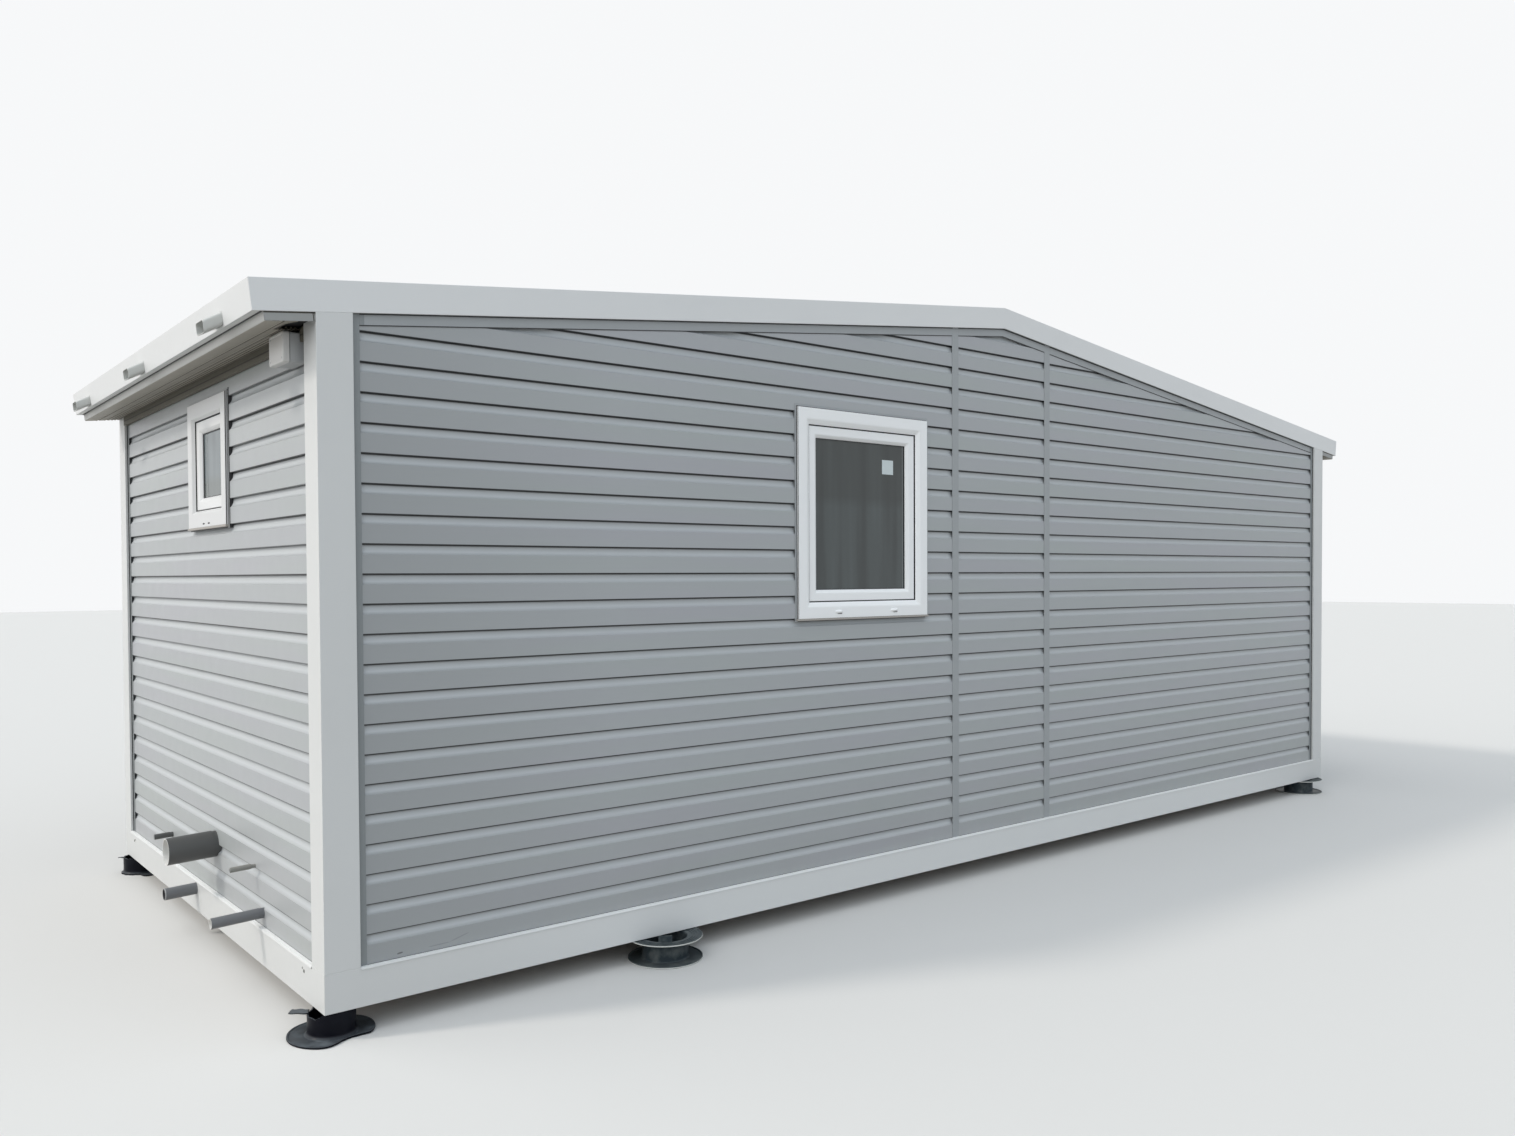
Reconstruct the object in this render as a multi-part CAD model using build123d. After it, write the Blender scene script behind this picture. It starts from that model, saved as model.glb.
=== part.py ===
from build123d import *
import os
from math import atan, ceil, cos, radians, sin, tan

# Mobile home, 7 m by 3 m, with a low roof whose ridge crosses the house half way
# along its length. X runs along the long front wall, Y towards the back, Z up.
# The origin is on the ground, below the middle of the house.

# House
length = 7000.0            # outer faces of the corner posts, along X
width = 3000.0             # outer faces of the corner posts, along Y
foot_height = 92.0
sill_height = 133.0
eave_height = 2251.0       # top of the sill to the top edge of the eave
roof_angle = 6.54          # degrees
overhang = 210.0           # eave beyond the end walls
steel_sheet = 4.0          # frame and fascia sheet
fit_gap = 0.3              # clearance between seated pieces

# Frame
post_face = 122.0
sill_flange = 120.0
wall_setback = 30.0        # wall panel behind the face of the frame
wall_thickness = 90.0

# Cladding, all depths measured back from the face of the frame
course = 101.5             # exposed height of one siding course
course_flat = 66.0
course_cove = 27.0
siding_sheet = 1.5
trim_setback = 14.0
trim_sheet = 1.5
trim_flange = 26.0
window_trim_flange = 13.0
trim_leg = 5.0
siding_play = 6.0          # room at the ends of the siding for it to expand
strip_width = 46.0
strip_offset = 368.0       # joint strips to either side of the middle
top_trim = 37.0

# Roof
fascia_height = 105.0
roof_recess = 26.0         # roof sheet below the upper edge of the fascias
gutter_width = 110.0
gutter_sheet = 2.0
soffit_drop = 30.0
soffit_sheet = 2.0
soffit_inset = 35.0
soffit_groove = 7.0
flashing_width = 180.0
flashing_sheet = 2.0

# Rain spouts
spout_width = 90.0
spout_height = 44.0
spout_wall = 2.5
spout_reach = 60.0
spout_drop = 34.0
spout_sill = 6.3           # underside of the spouts above the gutter floor
spout_pitch = 1140.0       # between the spouts of one eave

# Windows and door
frame_proud = 11.0         # window frame in front of the trims
frame_face = 72.0
frame_depth = 70.0
sash_setback = 17.0
sash_face = 55.0
sash_depth = 52.0
rebate = 12.0
glass_setback = 18.0
glass_thickness = 24.0
head_below_eave = 201.0    # heads of all the windows
large_window = (828.0, 934.0)
small_window = (567.0, 528.0)
door_size = (900.0, 2020.0)
window_to_strip = 217.0    # from the frame to the joint strip beside it
end_window_offset = 140.0  # middle of the end window in front of the middle of its wall
door_to_strip = 782.0
panel_joint = 0.3
door_leaf_thickness = 44.0
door_panel_inset = 130.0
door_panel_depth = 6.0

# Service pipes through the left end: distance from the front face, height above
# the top of the sill, outer radius, wall, reach beyond the face of the frame
waste_pipe = (1344.0, 201.0, 55.0, 3.2, 169.0)
sink_pipe = (1598.0, -36.0, 25.0, 2.4, 124.0)
basin_pipe = (704.0, 51.0, 20.0, 2.2, 164.0)
water_pipe = (2064.0, 119.0, 12.5, 2.0, 62.0)
vent_pipe = (796.0, 211.0, 8.0, 2.0, 75.0)
pipe_in_wall = 90.0
pipe_neck = 1.0            # pipes are slimmer by this where they pass the wall
pipe_neck_start = 2.0      # in front of the face of the frame

# Junction box under the left eave
box_width = 150.0
box_height = 105.0
box_depth = 54.0
box_lid_depth = 20.0
box_from_front = 150.0
box_below_soffit = 12.0
box_wall = 4.0

# Feet: round plastic spools
foot_radius = 151.0
foot_hub_radius = 88.0
foot_hub_wall = 7.0
foot_flange = 6.0
corner_foot_inset = 50.0
corner_foot_depth = 80.0
inner_foot = 1359.0
far_foot_inset = 168.0

# Derived places
sill_top = foot_height + sill_height
slope = radians(roof_angle)
ridge_run = length / 2 + overhang
ridge_top = sill_top + eave_height + ridge_run * tan(slope)
slope_length = ridge_run / cos(slope)
inner_wall = wall_setback + wall_thickness
butt_setback = trim_setback + trim_sheet + fit_gap
hem_setback = wall_setback - siding_sheet
frame_setback = trim_setback - frame_proud
roof_end = slope_length - steel_sheet - gutter_width
head = eave_height - head_below_eave

# Left edge, sill height, width and height of each opening, from the left end of its
# wall as seen from outside and from the top of the base frame
front_window = (length / 2 - strip_offset - window_to_strip - large_window[0],
                head - large_window[1], *large_window)
back_window = (length / 2 + strip_offset + window_to_strip, head - large_window[1], *large_window)
end_window = (width / 2 + end_window_offset - small_window[0] / 2, head - small_window[1], *small_window)
door = (length / 2 - strip_offset - door_to_strip - door_size[0], 0.0, *door_size)
tall = ridge_top


def ring(outer_x, outer_y, inner_x, inner_y, height, base):
    """Flat rectangular ring centred on the origin, standing on the height base."""
    outer = Box(outer_x, outer_y, height, align=(Align.CENTER, Align.CENTER, Align.MIN))
    inner = Box(inner_x, inner_y, height, align=(Align.CENTER, Align.CENTER, Align.MIN))
    return Pos(0, 0, base) * (outer - inner)


def block(low, high):
    """Box between two opposite corners."""
    size = [b - a for a, b in zip(low, high)]
    return Pos(*low) * Box(*size, align=(Align.MIN, Align.MIN, Align.MIN))


def roof_point(along, down):
    """Place on the left slope: along from the ridge, down square to the slope."""
    x = -along * cos(slope) + down * sin(slope)
    z = ridge_top - along * sin(slope) - down * cos(slope)
    return (x, z)


def across(points, y_from, y_to):
    """Outline of (x, z) points carried along Y."""
    face = make_face(Polyline([(x, y_from, z) for x, z in points], close=True))
    return extrude(face, amount=y_to - y_from, dir=(0, 1, 0))


def on_slope(points, y_from, y_to):
    """Outline of (along, down) points on the left slope carried along Y."""
    return across([roof_point(*p) for p in points], y_from, y_to)


def under_roof(down, y_from=-width, y_to=width):
    """Everything below a depth under the roof's upper surface, both slopes."""
    far = slope_length + overhang
    left = roof_point(far, down)
    top = (0.0, roof_point(down * tan(slope), down)[1])
    right = (-left[0], left[1])
    return across([(left[0], -tall), left, top, right, (right[0], -tall)], y_from, y_to)


def mirrored(shape):
    """The same piece on the other end of the house."""
    return mirror(shape, about=Plane.YZ)


walls = {
    "front": ((-length / 2, -width / 2), 0, length),
    "right": ((length / 2, -width / 2), 90, width),
    "back": ((length / 2, width / 2), 180, length),
    "left": ((-length / 2, width / 2), 270, width),
}


def on_wall(shape, side):
    """Carry a piece from its wall's own frame to the house.

    In a wall's frame x runs from its left end as seen from outside, y goes in from
    the face of the frame and z up from the top of the sill.
    """
    corner, turn, run = walls[side]
    return Pos(corner[0], corner[1], sill_top) * Rot(0, 0, turn) * shape


def window_hole(opening, margin, deep_from, deep_to):
    """Box through the wall around a window or door, larger by a margin."""
    left, low, wide, high = opening
    return block(
        (left - margin, deep_from, low - margin),
        (left + wide + margin, deep_to, low + high + margin),
    )


openings = {
    "front": [front_window],
    "left": [end_window],
    "back": [door, back_window],
    "right": [],
}


def pipe_place(pipe):
    """Where a service pipe crosses the left wall, in that wall's frame."""
    return width - pipe[0], pipe[1]


def pipe_hole(pipe, deep_from, deep_to):
    """Bore for the slimmer part of a service pipe."""
    u, z = pipe_place(pipe)
    bore = Cylinder(pipe[2] - pipe_neck + fit_gap, deep_to - deep_from, rotation=(-90, 0, 0),
                    align=(Align.CENTER, Align.CENTER, Align.MIN))
    return Pos(u, deep_from, z) * bore


wall_pipes = [waste_pipe, basin_pipe, water_pipe, vent_pipe]


# Base frame: folded channels with mitred corners, around the floor

def sill_quarter(side):
    """One side of the base frame, cut at 45 degrees where it meets its neighbours."""
    web = ring(length, width, length - 2 * steel_sheet, width - 2 * steel_sheet,
               sill_height, foot_height)
    flange_x = length - 2 * sill_flange
    flange_y = width - 2 * sill_flange
    low = ring(length, width, flange_x, flange_y, steel_sheet, foot_height)
    high = ring(length, width, flange_x, flange_y, steel_sheet, sill_top - steel_sheet)
    reach = sill_flange + steel_sheet
    run = walls[side][2]
    wedge = make_face(Polyline([(0, 0), (run, 0), (run - reach, reach), (reach, reach)], close=True))
    wedge = on_wall(extrude(Pos(0, 0, -sill_height) * wedge, amount=sill_height), side)
    return (web + low + high) & wedge


sills = {side: sill_quarter(side) for side in walls}
sills["left"] -= on_wall(pipe_hole(sink_pipe, -steel_sheet, wall_setback), "left")

floor = block(
    (-length / 2 + steel_sheet, -width / 2 + steel_sheet, foot_height + steel_sheet),
    (length / 2 - steel_sheet, width / 2 - steel_sheet, sill_top - steel_sheet),
)
floor -= on_wall(pipe_hole(sink_pipe, -steel_sheet, pipe_in_wall), "left")


# Corner posts: folded sheet with lips that close on the wall panels

def corner_post():
    a, s, w = post_face, steel_sheet, wall_setback
    plan = [(0, 0), (a, 0), (a, w), (a - s, w), (a - s, s), (s, s),
            (s, a - s), (w, a - s), (w, a), (0, a)]
    return extrude(make_face(Polyline(plan, close=True)), amount=tall)


posts = [on_wall(corner_post(), side) & under_roof(fascia_height) for side in walls]


# Wall panels: flat slabs, jointed beside, over and under each window and the door

def wall_panels(side):
    run = walls[side][2]
    start = wall_setback if run == length else inner_wall
    gap = panel_joint / 2
    slabs = []
    here = start
    for left, low, wide, high in openings[side]:
        slabs.append((here, left - fit_gap, 0.0, tall))
        right = left + wide + fit_gap
        slabs.append((left - fit_gap + 2 * gap, right - 2 * gap, low + high + fit_gap, tall))
        if low > 0:
            slabs.append((left - fit_gap + 2 * gap, right - 2 * gap, 0.0, low - fit_gap))
        here = right
    slabs.append((here, run - start, 0.0, tall))
    pieces = []
    for u_from, u_to, low, high in slabs:
        slab = block((u_from, wall_setback, low), (u_to, inner_wall, high))
        if side == "left":
            for pipe in wall_pipes:
                slab -= pipe_hole(pipe, 0, inner_wall + wall_setback)
        pieces += (on_wall(slab, side) & under_roof(fascia_height)).solids()
    return Compound(children=pieces)


panels = {side: wall_panels(side) for side in walls}


# Siding: lapped sheet whose courses each have a flat face below a cove

def siding_outline(count):
    """Section of a number of courses, as straight runs and cove arcs."""
    t = siding_sheet
    cove_d = hem_setback - butt_setback
    bend = (cove_d ** 2 + course_cove ** 2) / (2 * cove_d)
    half = atan(course_cove / (bend - cove_d)) / 2

    def line_of(thick):
        """Runs of one side of the sheet, each ending in a point or an arc."""
        runs = []
        for k in range(count):
            base = course * k
            start = base + course_flat
            low = (butt_setback + thick, start)
            high = (hem_setback + thick, start + course_cove)
            middle = (high[0] - bend + bend * cos(half), high[1] - bend * sin(half))
            top = base + course + (thick if k < count - 1 else 0.0)
            runs += [[(butt_setback + thick, base + thick)], [low], [low, middle, high], [(high[0], top)]]
        return runs

    edges = []
    here = (wall_setback, 0.0)

    def follow(runs):
        nonlocal here
        for run in runs:
            points = [Vector(0, y, z) for y, z in run]
            if run[0] != here:
                edges.append(Line(Vector(0, *here), points[0]))
            if len(run) == 3:
                edges.append(ThreePointArc(*points))
            here = run[-1]

    follow(line_of(0.0))
    inner = [run[::-1] for run in line_of(t)[::-1]]
    follow(inner)
    follow([[(wall_setback, t)], [(wall_setback, 0.0)]])
    return Face(Wire(edges))


siding_face = siding_outline(ceil((ridge_top - sill_top) / course))


def siding_bay(u_from, u_to, side):
    """Siding between two uprights, cut to the roof, windows and pipes."""
    margin = fit_gap + trim_sheet + siding_play
    bay = Pos(u_from, 0, 0) * extrude(siding_face, amount=u_to - u_from, dir=(1, 0, 0))
    for opening in openings[side]:
        bay -= window_hole(opening, margin, 0, inner_wall)
    if side == "left":
        for pipe in wall_pipes:
            bay -= pipe_hole(pipe, 0, inner_wall)
    bay = on_wall(bay, side) & under_roof(fascia_height + trim_sheet + siding_play)
    return bay.solids()


edge_play = post_face + trim_sheet + siding_play
strip_play = trim_sheet / 2 + siding_play


def siding(side):
    run = walls[side][2]
    if run == length:
        marks = [edge_play, run / 2 - strip_offset - strip_play, run / 2 - strip_offset + strip_play,
                 run / 2 + strip_offset - strip_play, run / 2 + strip_offset + strip_play, run - edge_play]
    else:
        marks = [edge_play, run - edge_play]
    pieces = []
    for u_from, u_to in zip(marks[0::2], marks[1::2]):
        pieces += siding_bay(u_from, u_to, side)
    return Compound(children=pieces)


claddings = {side: siding(side) for side in walls}


# Trims: channels that take the ends of the siding

def upright_channel(u, flange_to, leg_to):
    """Upright trim with its web at u, a front flange and a short leg on the wall."""
    low_z, high_z = 0.0, tall
    step = trim_sheet if flange_to > u else -trim_sheet
    web = block((min(u, u + step), trim_setback, low_z), (max(u, u + step), wall_setback, high_z))
    front = block((min(u, flange_to), trim_setback, low_z),
                  (max(u, flange_to), trim_setback + trim_sheet, high_z))
    leg = block((min(u, leg_to), wall_setback - trim_sheet, low_z), (max(u, leg_to), wall_setback, high_z))
    return web + front + leg


def joint_strip(u):
    half = strip_width / 2
    web = block((u - trim_sheet / 2, trim_setback, 0), (u + trim_sheet / 2, wall_setback, tall))
    front = block((u - half, trim_setback, 0), (u + half, trim_setback + trim_sheet, tall))
    leg = block((u - trim_leg, wall_setback - trim_sheet, 0), (u + trim_leg, wall_setback, tall))
    return web + front + leg


def window_trim(opening):
    """Trim all round a window frame."""
    inner = fit_gap
    web = window_hole(opening, inner + trim_sheet, trim_setback, wall_setback)
    front = window_hole(opening, inner + window_trim_flange, trim_setback, trim_setback + trim_sheet)
    leg = window_hole(opening, inner + trim_leg, wall_setback - trim_sheet, wall_setback)
    return web + front + leg - window_hole(opening, inner, 0, inner_wall)


def top_trims(spans, side):
    """Trims under the roof, between the uprights, that follow its slope."""
    pieces = []
    flange_low = fascia_height + (top_trim if walls[side][2] == length else soffit_drop)
    for u_from, u_to in spans:
        front = block((u_from, trim_setback, 0), (u_to, trim_setback + trim_sheet, tall))
        web = block((u_from, trim_setback, 0), (u_to, wall_setback, tall))
        front = (on_wall(front, side) & under_roof(fascia_height)) - under_roof(flange_low)
        web = (on_wall(web, side) & under_roof(fascia_height)) - under_roof(fascia_height + trim_sheet)
        pieces += (front + web).solids()
    return pieces


def trims(side):
    run = walls[side][2]
    uprights = [
        upright_channel(post_face, post_face + trim_flange, post_face + trim_leg),
        upright_channel(run - post_face, run - post_face - trim_flange, run - post_face - trim_leg),
    ]
    edge = post_face + trim_flange + fit_gap
    if run == length:
        half = strip_width / 2 + fit_gap
        left_strip, right_strip = run / 2 - strip_offset, run / 2 + strip_offset
        uprights += [joint_strip(left_strip), joint_strip(right_strip)]
        spans = [(edge, left_strip - half), (left_strip + half, run / 2 - fit_gap / 2),
                 (run / 2 + fit_gap / 2, right_strip - half), (right_strip + half, run - edge)]
    else:
        spans = [(edge, run - edge)]
    pieces = []
    for upright in uprights:
        pieces += (on_wall(upright, side) & under_roof(fascia_height)).solids()
    for opening in openings[side]:
        trim = window_trim(opening)
        if opening is door:
            trim &= block((0, 0, 0), (run, inner_wall, tall))
        pieces += on_wall(trim, side).solids()
    pieces += top_trims(spans, side)
    return Compound(children=pieces)


edge_trims = {side: trims(side) for side in walls}


# Roof: two insulated slabs that meet at the ridge, with a gutter along each eave

y_inner = width / 2 - steel_sheet


def roof_slab():
    top, low = roof_recess, fascia_height
    section = [(top * tan(slope), top), (roof_end, top), (roof_end, low), (low * tan(slope), low)]
    return on_slope(section, -y_inner, y_inner)


def gutter_floor():
    """Sheet between the roof slab and the eave fascia, on which the rain runs to the spouts."""
    low = fascia_height
    start, end = roof_end + fit_gap, slope_length - steel_sheet
    section = [(start, low - gutter_sheet), (end, low - gutter_sheet), (end, low), (start, low)]
    return on_slope(section, -y_inner, y_inner)


def ridge_flashing():
    """Bent strip over the joint at the ridge."""
    low, top = roof_recess, roof_recess - flashing_sheet
    reach = flashing_width / 2
    half = on_slope([(top * tan(slope), top), (reach, top), (reach, low), (low * tan(slope), low)],
                    -y_inner, y_inner)
    return half + mirrored(half)


roof_left = roof_slab()


# Fascias: folded sheet, flush with the posts on the long sides

def long_fascia(y_face, inward):
    """Gable-shaped fascia of a long wall, with a lip on the wall panel."""
    outer = under_roof(0) - under_roof(fascia_height)
    limit = on_slope([(0, 0), (slope_length, 0), (slope_length, fascia_height),
                      (fascia_height * tan(slope), fascia_height)], -width, width)
    band = outer & (limit + mirrored(limit))
    y_sheet = y_face + inward * steel_sheet
    return band & block((-length, min(y_face, y_sheet), 0), (length, max(y_face, y_sheet), 2 * tall))


def end_fascia():
    """Eave fascia of the left end, leaning square to the roof."""
    start, end = slope_length - steel_sheet, slope_length
    section = [(start, 0), (end, 0), (end, fascia_height), (start, fascia_height)]
    return on_slope(section, -y_inner, y_inner)


spout_places = [-spout_pitch, 0.0, spout_pitch]


def spout_block(margin):
    """Solid that fills a spout, from the gutter through the fascia and down outside."""
    low = fascia_height - gutter_sheet - spout_sill - margin
    high = low - spout_height + 2 * margin
    inside = slope_length - steel_sheet
    start_high, start_low = roof_point(inside, high), roof_point(inside, low)
    face_high, face_low = roof_point(slope_length, high), roof_point(slope_length, low)
    end_high = (face_high[0] - spout_reach, face_high[1] - spout_drop)
    end_low = (face_low[0] - spout_reach, face_low[1] - spout_drop)
    half = spout_width / 2 - margin
    return across([start_high, face_high, end_high, end_low, face_low, start_low], -half, half)


def spout():
    return spout_block(0.0) - spout_block(spout_wall)


spout_outer = spout_block(-fit_gap)
gutter_left = gutter_floor()
fascia_left = end_fascia()
for y in spout_places:
    fascia_left -= Pos(0, y, 0) * spout_outer
spouts_left = [Pos(0, y, 0) * spout() for y in spout_places]
spouts = spouts_left + [mirrored(s) for s in spouts_left]


# Soffits: grooved panels under the eaves, hung below the gutters

def soffit():
    top = fascia_height
    low = fascia_height + soffit_drop
    t = soffit_sheet
    outer = slope_length - soffit_inset
    inner = length / 2 / cos(slope) + low * tan(slope)
    bay = (outer - inner) / 3
    g = soffit_groove
    under = [(outer, low)]
    above = [(outer - t, low - t)]
    for k in (1, 2):
        middle = outer - bay * k
        under += [(middle + g, low), (middle, low - g), (middle - g, low)]
        above += [(middle + g, low - t), (middle, low - g - t), (middle - g, low - t)]
    under += [(inner, low)]
    above += [(inner + t, low - t)]
    section = [(outer - t, top), (outer, top)] + under + [(inner, top), (inner + t, top)] + above[::-1]
    panel = on_slope(section, -y_inner, y_inner)
    caps = on_slope([(outer, top), (outer, low), (inner, low), (inner, top)], -y_inner, -y_inner + t)
    far = on_slope([(outer, top), (outer, low), (inner, low), (inner, top)], y_inner - t, y_inner)
    return panel + caps + far


soffit_left = soffit()


# Windows: frame, sash and sealed pane, each held in the rebate of the one before

def framed(opening, inset, face, deep_from, deep_to, shoulder):
    """Rectangular ring with a rebate behind its shoulder for the piece it holds."""
    left, low, wide, high = opening
    outer = (left + inset, low + inset, wide - 2 * inset, high - 2 * inset)
    body = window_hole(outer, 0.0, deep_from, deep_to)
    body -= window_hole(outer, -face, deep_from, deep_to)
    body -= window_hole(outer, rebate - face, shoulder, deep_to)
    return body


def window(opening, side):
    sash_front = frame_setback + sash_setback
    pane_front = sash_front + glass_setback
    frame = framed(opening, 0.0, frame_face, frame_setback, frame_setback + frame_depth, sash_front)
    sash_inset = frame_face - rebate + fit_gap
    sash_rim = sash_face + rebate - fit_gap
    sash = framed(opening, sash_inset, sash_rim, sash_front, sash_front + sash_depth, pane_front)
    pane_inset = sash_inset + sash_rim - rebate + fit_gap
    pane = window_hole(opening, -pane_inset, pane_front, pane_front + glass_thickness)
    return [on_wall(piece, side) for piece in (frame, sash, pane)]


front_frame, front_sash, front_pane = window(front_window, "front")
end_frame, end_sash, end_pane = window(end_window, "left")
back_frame, back_sash, back_pane = window(back_window, "back")


# Back door: frame on three sides with a closed leaf

def back_door():
    leaf_front = frame_setback + sash_setback
    frame = framed(door, 0.0, frame_face, frame_setback, frame_setback + frame_depth, leaf_front)
    left, low, wide, high = door
    inset = frame_face - rebate + fit_gap
    leaf = window_hole(door, -inset, leaf_front, leaf_front + door_leaf_thickness)
    for panel_low, panel_high in ((0.08, 0.44), (0.52, 0.92)):
        leaf -= block(
            (left + inset + door_panel_inset, leaf_front, low + high * panel_low),
            (left + wide - inset - door_panel_inset, leaf_front + door_panel_depth, low + high * panel_high),
        )
    return on_wall(frame, "back"), on_wall(leaf, "back")


door_frame, door_leaf = back_door()


# Junction box on the siding of the left end, with its lid

def junction_box():
    z_high = roof_point(length / 2 / cos(slope), fascia_height + soffit_drop)[1] - sill_top - box_below_soffit
    u_high = width - box_from_front
    y_back = butt_setback
    body = block((u_high - box_width, y_back - box_depth, z_high - box_height), (u_high, y_back, z_high))
    room = block(
        (u_high - box_width + box_wall, y_back - box_depth, z_high - box_height + box_wall),
        (u_high - box_wall, y_back - box_wall, z_high - box_wall),
    )
    lid_back = y_back - box_depth
    lid = block((u_high - box_width, lid_back - box_lid_depth, z_high - box_height), (u_high, lid_back, z_high))
    lid = fillet(lid.edges().filter_by(Axis.Y), 6.0)
    body = fillet(body.edges().filter_by(Axis.Y), 6.0) - room
    return on_wall(body, "left"), on_wall(lid, "left")


box_body, box_lid = junction_box()


# Service pipes: open stubs

def service_pipe(pipe):
    u, z = pipe_place(pipe)
    reach, r, wall = pipe[4], pipe[2], pipe[3]
    neck = r - pipe_neck
    section = [(r - wall, -reach), (r, -reach), (r, -pipe_neck_start), (neck, -pipe_neck_start),
               (neck, pipe_in_wall), (r - wall, pipe_in_wall)]
    face = make_face(Polyline([(x, y, 0) for x, y in section], close=True))
    return on_wall(Pos(u, 0, z) * revolve(face, axis=Axis.Y), "left")


# Feet

def foot():
    """Spool: two round flanges on a hollow hub."""
    r, h, w, f = foot_radius, foot_hub_radius, foot_hub_wall, foot_flange
    top = foot_height
    section = [(h - w, 0), (r, 0), (r, f), (h, f), (h, top - f), (r, top - f), (r, top), (h - w, top)]
    face = make_face(Polyline([(x, 0, z) for x, z in section], close=True))
    return revolve(face, axis=Axis.Z)


foot_x = [-length / 2 + corner_foot_inset, -length / 2 + inner_foot, length / 2 - far_foot_inset]
foot_y = [width / 2 - corner_foot_depth, width / 2, width / 2 - corner_foot_depth]
feet = [Pos(x, y, 0) * foot() for x, far in zip(foot_x, foot_y) for y in (-far, far)]


# Pieces and their files

pieces = {
    "floor": floor,
    "roof_left": roof_left,
    "roof_right": mirrored(roof_left),
    "ridge_flashing": ridge_flashing(),
    "gutter_left": gutter_left,
    "gutter_right": mirrored(gutter_left),
    "fascia_front": long_fascia(-width / 2, 1),
    "fascia_back": long_fascia(width / 2, -1),
    "fascia_left": fascia_left,
    "fascia_right": mirrored(fascia_left),
    "rain_spouts": Compound(children=spouts),
    "soffit_left": soffit_left,
    "soffit_right": mirrored(soffit_left),
    "front_window_frame": front_frame,
    "end_window_frame": end_frame,
    "back_window_frame": back_frame,
    "window_sashes": Compound(children=[front_sash, end_sash, back_sash]),
    "window_panes": Compound(children=[front_pane, end_pane, back_pane]),
    "door_frame": door_frame,
    "door_leaf": door_leaf,
    "junction_box": box_body,
    "junction_box_lid": box_lid,
    "waste_pipe": service_pipe(waste_pipe),
    "sink_pipe": service_pipe(sink_pipe),
    "basin_pipe": service_pipe(basin_pipe),
    "small_pipes": Compound(children=[service_pipe(p) for p in (water_pipe, vent_pipe)]),
    "corner_posts": Compound(children=posts),
    "feet": Compound(children=feet),
}
for side in walls:
    pieces["sill_" + side] = sills[side]
    pieces[side + "_wall"] = panels[side]
    pieces["siding_" + side] = claddings[side]
    pieces["trims_" + side] = edge_trims[side]

os.makedirs("parts", exist_ok=True)
for name, piece in pieces.items():
    export_step(piece, "parts/" + name + ".step")
print(len(pieces), "pieces")
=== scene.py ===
import bpy
import bmesh
import math
import numpy as np
from mathutils import Matrix, Vector


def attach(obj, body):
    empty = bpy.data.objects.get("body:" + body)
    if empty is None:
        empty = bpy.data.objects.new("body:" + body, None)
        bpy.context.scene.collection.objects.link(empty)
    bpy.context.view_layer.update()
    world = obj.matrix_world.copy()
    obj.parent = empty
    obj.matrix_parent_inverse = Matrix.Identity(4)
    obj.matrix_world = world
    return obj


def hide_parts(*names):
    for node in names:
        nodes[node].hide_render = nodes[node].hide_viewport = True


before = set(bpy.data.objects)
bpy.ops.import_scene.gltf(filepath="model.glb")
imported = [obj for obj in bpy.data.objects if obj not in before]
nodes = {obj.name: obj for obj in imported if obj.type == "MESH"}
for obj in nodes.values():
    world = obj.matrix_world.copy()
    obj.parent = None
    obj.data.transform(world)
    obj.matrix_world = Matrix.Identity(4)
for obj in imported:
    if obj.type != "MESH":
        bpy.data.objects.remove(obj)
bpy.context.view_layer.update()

print("frame loaded:", len(nodes), "nodes")

meshing = {"weld": 0.00002, "sameFace": 1.0, "sharpEdge": 35.0, "bevelShade": 60.0, "wallShade": 30.0}


def gridFaces(nu, nv, closeU, closeV):
    # quads of a grid whose point (i, j) has index i * nv + j
    i = np.arange(nu if closeU else nu - 1)[:, None]
    j = np.arange(nv if closeV else nv - 1)[None, :]
    i2, j2 = (i + 1) % nu, (j + 1) % nv
    quads = np.stack(np.broadcast_arrays(i * nv + j, i2 * nv + j, i2 * nv + j2, i * nv + j2), -1)
    return quads.reshape(-1, 4)


def joined(shapes):
    # several (points, quads) shapes as one, with each one's point numbers moved on
    starts = np.cumsum([0] + [len(points) for points, quads in shapes[:-1]])
    moved = [quads + start for start, (points, quads) in zip(starts, shapes)]
    return np.concatenate([points for points, quads in shapes]), np.concatenate(moved)


def linked(name, data):
    thing = bpy.data.objects.new(name, data)
    bpy.context.scene.collection.objects.link(thing)
    return thing


def dress(piece, finish, angle):
    # faces shade smoothly up to the angle, and large ones keep their own direction
    mesh = piece.data
    mesh.polygons.foreach_set("use_smooth", np.ones(len(mesh.polygons), dtype=bool))
    mesh.set_sharp_from_angle(angle=math.radians(angle))
    mesh.materials.clear()
    mesh.materials.append(mats[finish])
    mesh.update()
    weighted = piece.modifiers.new("flatNormals", "WEIGHTED_NORMAL")
    weighted.mode, weighted.weight, weighted.keep_sharp = "FACE_AREA", 100, True


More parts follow.
